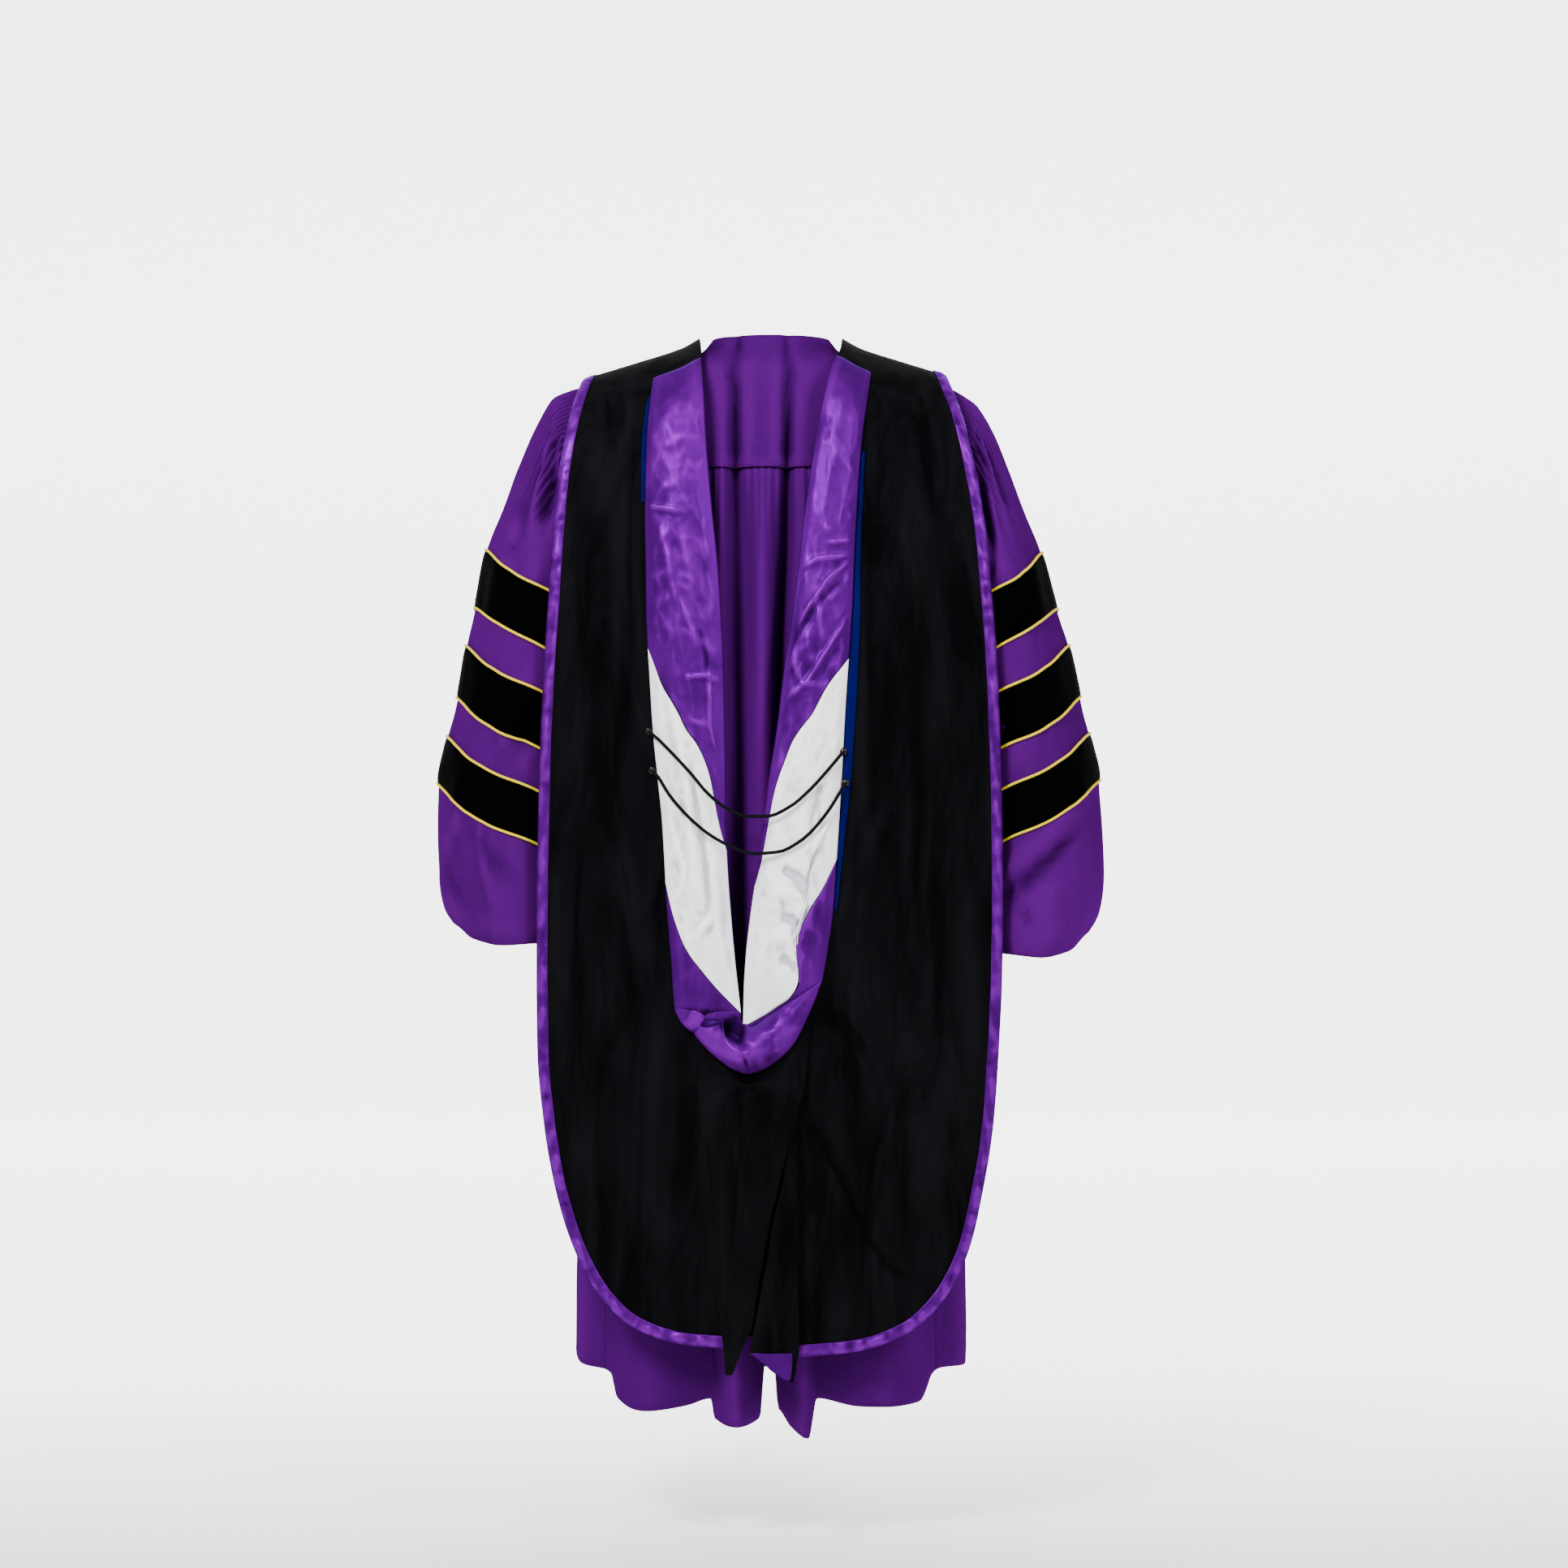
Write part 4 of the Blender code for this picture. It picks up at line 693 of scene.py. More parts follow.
bodyShape = {
    "wall": 0.0015, "seam": 0.0003, "tuckUp": 0.004, "yokeLine": -0.14, "frontYoke": -0.1, "hem": -1.272,
    "shoulderTip": -0.028, "underarm": -0.29, "spreadDeg": 30.0, "lapDeg": 1.2, "goreDeg": 60.0,
    "narrowest": 0.15, "rumple": (0.0012, 0.16, 7.0, 11), "rumpleFrom": -0.2, "rumpleFull": -0.5,
}
bodyRings = {
    "columns": ("z", "halfWidth", "halfDepth"),
    "rows": (
        (0.026, 0.072, 0.064), (0.01, 0.086, 0.072), (-0.002, 0.118, 0.08), (-0.014, 0.158, 0.088),
        (-0.03, 0.196, 0.096), (-0.06, 0.206, 0.108), (-0.1, 0.208, 0.12), (-0.14, 0.208, 0.128),
        (-0.2, 0.208, 0.136), (-0.29, 0.208, 0.144), (-0.4, 0.21, 0.149), (-0.55, 0.213, 0.155),
        (-0.7, 0.216, 0.161), (-0.85, 0.22, 0.166), (-1.0, 0.228, 0.172), (-1.13, 0.236, 0.178),
        (-1.28, 0.2375, 0.184),
    ),
}
neckShape = {
    "columns": ("z", "reachDeg"),
    "rows": (
        (0.026, 96.0), (0.01, 112.0), (-0.002, 128.0), (-0.03, 148.0), (-0.06, 162.0), (-0.1, 174.0),
        (-0.14, 179.6), (-1.28, 179.6),
    ),
}
gathers = {
    "pitch": 0.048, "backCentre": 0.009, "backSpan": 0.173, "fade": 0.024, "frontCentre": 0.104,
    "frontSpan": 0.075, "valleyShare": 0.35, "waver": (0.0012, 40, 12, 2),
    "finePitch": 0.0096, "fineHeight": 0.001,
}
gatherDepth = {
    "columns": ("z", "height", "fine"),
    "rows": (
        (-0.1, 0.0, 0.0), (-0.145, 0.003, 1.0), (-0.2, 0.007, 0.5), (-0.28, 0.01, 0.0), (-0.6, 0.008, 0.0),
        (-0.85, 0.005, 0.0), (-1.05, 0.0015, 0.0), (-1.28, 0.0, 0.0),
    ),
}
hemFolds = {
    "columns": ("roundDeg", "out"),
    "rows": (
        (-180.0, 0.0), (-170.0, 0.012), (-158.0, -0.012), (-146.0, 0.012), (-133.0, -0.012),
        (-120.0, 0.012), (-108.0, -0.01), (-99.0, 0.006), (-90.0, 0.003), (-81.0, 0.005), (-70.0, 0.012),
        (-60.0, -0.008), (-35.0, 0.022), (-15.5, -0.02), (-8.5, 0.018), (0.0, -0.052), (9.5, 0.018),
        (19.5, -0.02), (37.0, 0.022), (60.0, -0.008), (69.0, 0.012), (81.0, 0.004), (90.0, -0.002),
        (99.0, 0.006), (108.0, -0.01), (120.0, 0.012), (133.0, -0.012), (146.0, 0.012), (158.0, -0.012),
        (170.0, 0.012), (180.0, 0.0),
    ),
}
hemGrowth = {
    "columns": ("z", "share"),
    "rows": ((-0.2, 0.0), (-0.4, 0.04), (-0.7, 0.22), (-0.95, 0.52), (-1.15, 0.84), (-1.28, 1.0)),
}
hemLevel = {
    "columns": ("roundDeg", "raised"),
    "rows": (
        (-180.0, 0.004), (-92.0, 0.076), (-86.0, 0.068), (-79.0, 0.055), (-74.0, 0.048), (-63.0, 0.046),
        (-58.0, 0.04), (-54.0, 0.028), (-46.0, 0.013), (-26.0, 0.013), (-14.2, 0.021), (-12.4, -0.001),
        (-10.8, -0.021), (-5.7, -0.008), (-2.7, 0.006), (2.3, 0.006), (3.4, -0.003), (8.0, -0.007),
        (17.2, -0.002), (18.8, 0.02), (26.0, 0.012), (37.0, 0.007), (48.6, 0.016), (57.0, 0.042),
        (66.0, 0.048), (74.0, 0.06), (84.0, 0.072), (92.0, 0.078), (180.0, 0.004),
    ),
}
hemRecess = {"middleDeg": 0.4, "halfDeg": 2.3, "raised": 0.058, "from": -1.12}
gownFolds = {
    "columns": ("height", "startWidth", "endWidth", "path"),
    "rows": (
        (-0.029, 0.0074, 0.0082, ((0.0445, 0.06), (0.0445, -0.42), (0.04, -0.7), (0.034, -1.06))),
        (-0.026, 0.0062, 0.0066, (
            (-0.0215, 0.06), (-0.021, -0.24), (-0.014, -0.34), (-0.012, -0.42), (-0.005, -1.06))),
        (0.002, 0.012, 0.014, ((0.014, -0.18), (0.014, -0.62))),
        (0.0035, 0.005, 0.006, ((0.192, -1.03), (0.186, -1.12), (0.178, -1.19))),
        (-0.0035, 0.008, 0.012, ((0.206, -1.06), (0.204, -1.19))),
        (-0.006, 0.006, 0.01, ((0.08, -1.14), (0.072, -1.23))),
        (-0.005, 0.006, 0.01, ((-0.066, -1.13), (-0.06, -1.23))),
        (0.003, 0.006, 0.008, ((-0.15, -1.12), (-0.156, -1.22))),
        (-0.0035, 0.006, 0.009, ((-0.196, -1.08), (-0.202, -1.19))),
    ),
}


def gatherHeight(x, z, roundDeg):
    def ridges(offset, pitch):
        # broad tops with narrow valleys between them
        wave = np.cos(2 * math.pi * offset / pitch)
        return np.where(wave > 0, wave, wave * (1 - gathers["valleyShare"] * wave))

    backSpan, frontSpan = gathers["backSpan"], gathers["frontSpan"]
    fromFront = np.abs(x) - gathers["frontCentre"]
    isBack = np.abs(roundDeg) <= 90.0
    span = np.where(isBack, smoothStep(backSpan, backSpan - gathers["fade"], np.abs(x)),
                    smoothStep(frontSpan, frontSpan - gathers["fade"], np.abs(fromFront)))
    coarse = span * ridges(np.where(isBack, x - gathers["backCentre"], fromFront), gathers["pitch"])
    fine = np.cos(2 * math.pi * (x + rumple(gathers["waver"], x, z)) / gathers["finePitch"])
    fineShare = readTable(gatherDepth, "fine", z) * gathers["fineHeight"] * span
    return readTable(gatherDepth, "height", z) * coarse + fineShare * fine


def bodySurface(roundDeg, level):
    angle = np.radians(roundDeg)
    halfWidth, halfDepth = readTable(bodyRings, "halfWidth", level), readTable(bodyRings, "halfDepth", level)
    x, y = halfWidth * np.sin(angle), halfDepth * np.cos(angle)
    out = gatherHeight(x, level, roundDeg)
    out = out + readTable(hemFolds, "out", roundDeg) * readTable(hemGrowth, "share", level)
    out = out + foldHeight(gownFolds, x, level) * np.clip(np.cos(angle) * 2, 0, 1)
    rumpled = smoothStep(bodyShape["rumpleFrom"], bodyShape["rumpleFull"], level)
    out = out + rumple(bodyShape["rumple"], roundDeg, level) * rumpled
    directionX, directionY = np.sin(angle) / halfWidth, np.cos(angle) / halfDepth
    length = np.hypot(directionX, directionY)
    raised = readTable(hemLevel, "raised", roundDeg) * smoothStep(-0.85, bodyShape["hem"], level)
    offSlot = (roundDeg - hemRecess["middleDeg"]) / hemRecess["halfDeg"]
    slot = np.exp(-offSlot ** 6) * smoothStep(hemRecess["from"], bodyShape["hem"], level)
    raised = raised + hemRecess["raised"] * slot
    return np.stack([x + out * directionX / length, y + out * directionY / length, level + raised], axis=-1)


def bodyNormal(roundDeg, level):
    roundDeg, level = np.broadcast_arrays(np.asarray(roundDeg, float), np.asarray(level, float))
    across = bodySurface(roundDeg + 0.4, level) - bodySurface(roundDeg - 0.4, level)
    down = bodySurface(roundDeg, level - 0.002) - bodySurface(roundDeg, level + 0.002)
    normal = np.cross(across, down)
    normal = normal / np.linalg.norm(normal, axis=-1, keepdims=True)
    away = np.stack([np.sin(np.radians(roundDeg)), np.cos(np.radians(roundDeg)), 0 * roundDeg], axis=-1)
    return np.where(np.sum(normal * away, axis=-1, keepdims=True) < 0, -normal, normal)


def armholeReach(level):
    middle = (bodyShape["shoulderTip"] + bodyShape["underarm"]) / 2
    half = (bodyShape["shoulderTip"] - bodyShape["underarm"]) / 2
    reach = bodyShape["spreadDeg"] * np.sqrt(np.clip(1 - ((level - middle) / half) ** 2, 0, 1))
    return np.maximum(reach - bodyShape["lapDeg"], 0.0)


def bodyPanel(name, node, kind, top, bottom, startDeg, endDeg):
    # a yoke's lower edge stands off the gathers, and the panel below is tucked up under it
    panel = gownPanels[kind]
    across, down = panel["across"], panel["down"]
    halfSeam = math.degrees(bodyShape["seam"] / 2 / bodyShape["narrowest"])
    level = np.linspace(top, bottom, down + 1)[None, :]
    start, end = startDeg(level), endDeg(level)
    toward = np.sign(end - start) * halfSeam
    share = np.linspace(0, 1, across + 1)[:, None]
    roundDeg = (start + toward) + (end - start - 2 * toward) * share
    if kind == "front":
        # columns bend round the armhole only close to it
        plain = start[..., -1:] + toward
        roundDeg = plain + (end - toward - plain) * share + (start + toward - plain) * (1 - share) ** 2
    level = level + 0 * share
    points = bodySurface(roundDeg, level)
    if "lip" in panel:
        lip = panel["lip"] * smoothStep(bottom + panel["lipFrom"], bottom, level)
        points = points + bodyNormal(roundDeg, level) * lip[..., None]
    elif "tuck" in panel:
        tuck = panel["tuck"] * smoothStep(top - panel["tuckDown"], top, level)
        points = points - bodyNormal(roundDeg, level) * tuck[..., None]
    piece = gridCloth(
        name, points, gownCloth, bodyShape["wall"], outward=lambda spot: (spot.x, spot.y, 0.0),
    )
    standsFor(piece, "gown_cloth", node)


def fixedDeg(value):
    return lambda level: value + 0 * level


gownPanels = {
    "centre": {"across": 230, "down": 120, "flat": (0.64, 1.16), "area": 0.585,
               "tuck": 0.0022, "tuckDown": 0.012},
    "side": {"across": 30, "down": 84, "flat": (0.111, 1.12), "area": 0.09,
             "tuck": 0.0022, "tuckDown": 0.012},
    "front": {"across": 76, "down": 120, "flat": (0.368, 1.18), "area": 0.361,
              "tuck": 0.0022, "tuckDown": 0.012},
    "yokeBack": {"across": 110, "down": 30, "flat": (0.467, 0.27), "area": 0.079, "lip": 0.0034,
                 "lipFrom": 0.022},
    "yokeFront": {"across": 44, "down": 24, "flat": (0.183, 0.228), "area": 0.0187,
                  "lip": 0.003, "lipFrom": 0.022},
}
backTop = bodyShape["yokeLine"] + bodyShape["tuckUp"]
frontTop = bodyShape["frontYoke"] + bodyShape["tuckUp"]
hem, goreDeg = bodyShape["hem"], bodyShape["goreDeg"]
bodyPanel("gownBackCentre", "back_centre", "centre", backTop, hem, fixedDeg(-goreDeg), fixedDeg(goreDeg))
bodyPanel("gownYokeBack", "yoke_back", "yokeBack", 0.026, bodyShape["yokeLine"],
          lambda level: -(90.0 - armholeReach(level)), lambda level: 90.0 - armholeReach(level))
for side, sign in (("left", 1.0), ("right", -1.0)):
    def armholeBack(level, turned=sign):
        return turned * (90.0 - armholeReach(level))

    def armholeFront(level, turned=sign):
        return turned * (90.0 + armholeReach(level))

    def frontEdge(level, turned=sign):
        return turned * readTable(neckShape, "reachDeg", level)

    bodyPanel(f"gownBackSide_{side}", f"back_side_{side}", "side", backTop, hem, fixedDeg(sign * goreDeg),
              armholeBack)
    bodyPanel(f"gownFront_{side}", f"front_{side}", "front", frontTop, hem, armholeFront, frontEdge)
    bodyPanel(f"gownYokeFront_{side}", f"yoke_front_{side}", "yokeFront", 0.026, bodyShape["frontYoke"],
              armholeFront, frontEdge)
print("gown body made")


# Sleeves

sleeveRings = {
    "columns": ("t", "outerX", "outerZ", "innerX", "innerZ", "halfDepth", "droop"),
    "rows": (
        (0.0, 0.212, -0.024, 0.208, -0.292, 0.066, 0.0), (1.0, 0.236, -0.032, 0.2125, -0.296, 0.078, 0.0),
        (2.0, 0.258, -0.048, 0.216, -0.3, 0.088, 0.0), (3.0, 0.279, -0.088, 0.219, -0.304, 0.096, 0.002),
        (4.0, 0.302, -0.14, 0.222, -0.308, 0.102, 0.004), (5.0, 0.326, -0.19, 0.224, -0.313, 0.107, 0.006),
        (6.0, 0.35, -0.236, 0.226, -0.319, 0.111, 0.008), (7.0, 0.365, -0.305, 0.228, -0.392, 0.115, 0.01),
        (8.0, 0.376, -0.351, 0.229, -0.444, 0.118, 0.011), (9.0, 0.388, -0.414, 0.23, -0.51, 0.121, 0.012),
        (10.0, 0.398, -0.462, 0.231, -0.56, 0.124, 0.012),
        (11.0, 0.411, -0.522, 0.232, -0.622, 0.128, 0.012),
        (12.0, 0.412, -0.575, 0.234, -0.655, 0.133, 0.01),
        (13.0, 0.41, -0.632, 0.236, -0.682, 0.138, 0.008),
        (14.0, 0.404, -0.672, 0.238, -0.698, 0.14, 0.006),
        (15.0, 0.392, -0.694, 0.24, -0.706, 0.138, 0.004),
    ),
}
sleeveShape = {
    "settled": 2.2, "headLift": 0.001, "gatheredDeg": 80.0, "gatherFadeDeg": 20.0, "fineWaves": 42,
    "topShare": 0.8, "valleyShare": 1.3, "broadFolds": 5, "broadTurn": 0.5, "foldGain": 1.6,
    "drift": {"left": (0.35, 0.25, 1.6, 21), "right": (0.35, 0.25, 1.6, 27)}, "driftTurn": 4,
    "even": 0.75, "uneven": (0.35, 0.19, 0.9, 31), "rumple": (0.001, 0.11, 1.3, 41),
    "sway": (0.0016, 0.05, 0.6, 43),
    "across": 330, "down": 86, "flat": (0.745, 0.744), "area": 0.389,
}
sleeveBack = {
    "columns": ("t", "leftDroop", "rightDroop", "leftX", "leftZ", "rightX", "rightZ"),
    "rows": (
        (0.0, 0.0, 0.0, 0.0, 0.0, 0.0, 0.0), (1.0, 0.0, 0.0, 0.002, 0.001, -0.0055, -0.0025),
        (2.0, 0.0, 0.0, 0.007, 0.003, -0.0085, -0.0045), (3.0, 0.0, 0.0, 0.0085, 0.004, -0.0065, -0.003),
        (4.0, -0.002, -0.002, 0.009, 0.004, -0.0075, -0.003),
        (5.0, -0.004, -0.004, 0.0055, 0.003, -0.0105, -0.0045),
        (6.0, -0.005, -0.005, 0.0, 0.003, -0.017, -0.001),
        (7.0, -0.008, -0.009, -0.001, 0.0, -0.013, -0.002), (8.0, -0.006, -0.007, -0.002, 0.0, -0.01, 0.0),
        (9.0, -0.004, -0.005, -0.003, 0.0, -0.008, 0.001),
        (10.0, -0.003, -0.006, -0.002, 0.0, -0.008, 0.003),
        (11.0, -0.002, -0.007, -0.003, 0.003, -0.008, 0.006),
        (12.0, 0.001, 0.0, -0.003, 0.002, -0.005, 0.0), (13.0, 0.004, 0.008, -0.002, 0.002, -0.001, 0.0),
        (14.0, 0.007, 0.016, -0.002, 0.006, 0.0, 0.003), (15.0, 0.01, 0.024, -0.002, 0.008, 0.0, 0.004),
    ),
}
sleeveSag = {
    "columns": ("t", "sag"),
    "rows": (
        (0.0, 0.0), (5.2, 0.0), (6.0, 0.0085), (7.0, 0.0055), (8.0, 0.0095), (9.0, 0.0105), (10.0, 0.01),
        (11.0, 0.011), (12.2, 0.004), (13.5, 0.003), (15.0, 0.007),
    ),
}
sleeveGathers = {
    "columns": ("t", "gather", "fold"),
    "rows": (
        (0.0, 0.0006, 0.0), (0.25, 0.002, 0.0), (1.0, 0.004, 0.001), (2.0, 0.0042, 0.002),
        (3.0, 0.0034, 0.003), (3.9, 0.0012, 0.003), (4.6, 0.0, 0.002), (9.0, 0.0, 0.0006),
        (12.0, 0.0, 0.0008), (15.0, 0.0, 0.0012),
    ),
}
# Main falling folds of each sleeve, seen from the back; the front ones are set a little apart
sleeveFolds = {
    "columns": ("height", "startWidth", "endWidth", "path"),
    "left": {"rows": (
        (-0.01, 0.004, 0.011, (
            (0.272, -0.108), (0.2823, -0.139), (0.2924, -0.159), (0.3022, -0.183), (0.306, -0.215))),
        (0.005, 0.0025, 0.007, (
            (0.2562, -0.0946), (0.265, -0.109), (0.271, -0.117), (0.2758, -0.132), (0.2797, -0.154),
            (0.286, -0.183), (0.2983, -0.233))),
        (-0.005, 0.0025, 0.003, ((0.2572, -0.1004), (0.265, -0.1167))),
        (-0.013, 0.004, 0.0085, ((0.26, -0.128), (0.265, -0.156), (0.27, -0.183), (0.2773, -0.214))),
        (0.004, 0.002, 0.004, ((0.2523, -0.098), (0.2548, -0.117), (0.2592, -0.139), (0.2592, -0.159))),
        (-0.004, 0.0025, 0.0035, ((0.266, -0.0907), (0.2723, -0.1004))),
        (-0.003, 0.005, 0.006, ((0.3085, -0.23), (0.3222, -0.242))),
        (-0.004, 0.006, 0.008, ((0.282, -0.42), (0.3, -0.47))),
        (0.003, 0.007, 0.009, ((0.3, -0.41), (0.33, -0.48))),
        (-0.005, 0.007, 0.01, ((0.262, -0.415), (0.286, -0.45), (0.31, -0.49))),
        (0.005, 0.006, 0.008, ((0.376, -0.552), (0.384, -0.58), (0.398, -0.61))),
        (-0.004, 0.009, 0.013, ((0.37, -0.66), (0.392, -0.632), (0.404, -0.6))),
        (0.004, 0.006, 0.008, ((0.345, -0.556), (0.352, -0.59), (0.33, -0.66))),
        (-0.003, 0.008, 0.011, ((0.366, -0.566), (0.346, -0.6), (0.3, -0.64))),
    )},
    "right": {"rows": (
        (-0.005, 0.0022, 0.0026, ((-0.2496, -0.0906), (-0.254, -0.1054))),
        (-0.008, 0.0028, 0.005, ((-0.2459, -0.1016), (-0.2571, -0.1239), (-0.2631, -0.1443))),
        (-0.009, 0.004, 0.0085, (
            (-0.2582, -0.1014), (-0.2658, -0.1167), (-0.2768, -0.1503), (-0.2846, -0.17),
            (-0.2934, -0.1963))),
        (0.004, 0.0028, 0.006, (
            (-0.2545, -0.1), (-0.266, -0.132), (-0.2735, -0.168), (-0.287, -0.205), (-0.298, -0.24))),
        (-0.012, 0.004, 0.006, (
            (-0.2533, -0.139), (-0.2582, -0.1767), (-0.2646, -0.2198), (-0.2664, -0.2511))),
        (0.005, 0.004, 0.006, (
            (-0.2494, -0.1167), (-0.2582, -0.1454), (-0.267, -0.1826), (-0.2745, -0.2198))),
        (-0.004, 0.005, 0.007, ((-0.262, -0.43), (-0.278, -0.452), (-0.3, -0.458))),
        (-0.004, 0.004, 0.006, ((-0.252, -0.29), (-0.268, -0.25))),
        (-0.005, 0.012, 0.008, ((-0.262, -0.668), (-0.3, -0.642), (-0.334, -0.61), (-0.384, -0.562))),
        (0.006, 0.012, 0.008, ((-0.262, -0.64), (-0.31, -0.604), (-0.35, -0.57), (-0.384, -0.538))),
        (0.004, 0.003, 0.003, ((-0.294, -0.64), (-0.3, -0.664), (-0.322, -0.67))),
        (0.004, 0.003, 0.003, ((-0.302, -0.66), (-0.33, -0.65))),
        (-0.004, 0.004, 0.004, ((-0.3, -0.672), (-0.312, -0.69))),
    )},
}
sleeveFrontShift = 0.012


def armholeLoop(aroundDeg, lift):
    around = np.radians(aroundDeg)
    middle = (bodyShape["shoulderTip"] + bodyShape["underarm"]) / 2
    half = (bodyShape["shoulderTip"] - bodyShape["underarm"]) / 2
    level = middle + half * np.cos(around)
    roundDeg = 90.0 - bodyShape["spreadDeg"] * np.sin(around)
    return bodySurface(roundDeg, level) + bodyNormal(roundDeg, level) * lift


def sleeveSurface(side, t, aroundDeg):
    # the sleeve's outer surface on the wearer's left; the right one is its mirror with folds of its own
    t, aroundDeg = np.broadcast_arrays(np.asarray(t, float), np.asarray(aroundDeg, float))
    around = np.radians(aroundDeg)
    outerX, outerZ = readTable(sleeveRings, "outerX", t), readTable(sleeveRings, "outerZ", t)
    innerX, innerZ = readTable(sleeveRings, "innerX", t), readTable(sleeveRings, "innerZ", t)
    middleX, middleZ = (outerX + innerX) / 2, (outerZ + innerZ) / 2
    cosine, sine = np.cos(around), np.sin(around)
    droop = np.where(sine > 0, readTable(sleeveBack, side + "Droop", t), readTable(sleeveRings, "droop", t))
    outerPart = smoothStep(-0.3, 1.0, cosine)
    fromOuter = (1 - cosine) / 2
    midway = smoothStep(0.0, 0.24, fromOuter) * smoothStep(0.72, 0.34, fromOuter)
    sag = readTable(sleeveSag, "sag", t) * midway
    ring = np.stack([
        middleX + (outerX - innerX) / 2 * cosine + readTable(sleeveBack, side + "X", t) * outerPart,
        readTable(sleeveRings, "halfDepth", t) * sine,
        middleZ + (outerZ - innerZ) / 2 * cosine - droop * sine - sag
        + readTable(sleeveBack, side + "Z", t) * outerPart,
    ], axis=-1)
    settled = smoothStep(0.0, sleeveShape["settled"], t)[..., None]
    point = armholeLoop(aroundDeg, sleeveShape["headLift"]) * (1 - settled) + ring * settled
    out = point - np.stack([middleX, 0 * middleX, middleZ], axis=-1)
    out = out / np.maximum(np.linalg.norm(out, axis=-1, keepdims=True), 1e-9)
    wrapped = (aroundDeg + 180.0) % 360.0 - 180.0
    edge = sleeveShape["gatheredDeg"]
    overTop = smoothStep(edge, edge - sleeveShape["gatherFadeDeg"], np.abs(wrapped))
    turn = np.pi * wrapped / edge
    drift = rumple(sleeveShape["drift"][side], wrapped, t)
    fine = np.cos(turn * sleeveShape["fineWaves"] + drift * sleeveShape["driftTurn"])
    fine = np.where(fine > 0, fine * sleeveShape["topShare"], fine * sleeveShape["valleyShare"])
    uneven = sleeveShape["even"] + rumple(sleeveShape["uneven"], wrapped, t)
    broad = np.cos((turn + sleeveShape["broadTurn"]) * sleeveShape["broadFolds"])
    height = readTable(sleeveGathers, "gather", t) * fine * uneven
    height = (height + readTable(sleeveGathers, "fold", t) * broad) * overTop
    flip = 1.0 if side == "left" else -1.0
    back = foldHeight(sleeveFolds[side], point[..., 0] * flip, point[..., 2]) * np.clip(sine * 1.6, 0, 1)
    other = "right" if side == "left" else "left"
    frontX, frontZ = -(point[..., 0] - sleeveFrontShift) * flip, point[..., 2] + sleeveFrontShift
    front = foldHeight(sleeveFolds[other], frontX, frontZ) * np.clip(-sine * 1.6, 0, 1)
    height = height + sleeveShape["foldGain"] * (back + front) * smoothStep(0.6, 1.8, t)
    rumpled = rumple(sleeveShape["rumple"], wrapped, t) + rumple(sleeveShape["sway"], wrapped, t)
    height = height + rumpled * smoothStep(1.5, 4.0, t)
    point = point + out * height[..., None]
    return point * np.array([flip, 1.0, 1.0])


def sleeveGrid(side, tFrom, tTo, down, across, topShare=5 / 6):
    edge = sleeveShape["gatheredDeg"]
    top = round(across * topShare)
    around = np.concatenate([
        np.linspace(-edge, edge, top, endpoint=False), np.linspace(edge, 360.0 - edge, across - top + 1),
    ])
    bend = np.linspace(0, 1, down + 1)
    t = tFrom + (tTo - tFrom) * (bend if tFrom > 0 else 0.35 * bend + 0.65 * bend ** 1.6)
    return sleeveSurface(side, t[None, :], around[:, None])


def sleeveOutward(side):
    flip = 1.0 if side == "left" else -1.0
    return lambda spot: (spot.x - 0.3 * flip, spot.y, (spot.z + 0.33) * 0.2)


barShape = {"edges": ((6.0, 7.0), (8.0, 9.0), (10.0, 11.0)), "margin": 0.036, "wall": 0.0014, "lie": 0.0004,
            "across": 170, "down": 12, "crown": 0.0007, "headShare": 0.6,
            "flats": ((0.634, 0.068), (0.692, 0.062), (0.749, 0.058))}
pipingShape = {"radius": 0.0016, "lie": 0.0004, "sides": 8, "points": 160, "beside": 0.02}


def liftedRing(points, lift):
    # points of a closed sleeve grid moved out along its own normals
    around = np.empty_like(points)
    around[1:-1] = points[2:] - points[:-2]
    around[0] = around[-1] = points[1] - points[-2]
    normal = np.cross(around, np.gradient(points, axis=1))
    normal = normal / np.linalg.norm(normal, axis=-1, keepdims=True)
    away = points - points.mean(axis=0, keepdims=True)
    if np.sum(normal * away) < 0:
        normal = -normal
    return points + normal * np.broadcast_to(lift, points.shape[:2])[..., None], normal


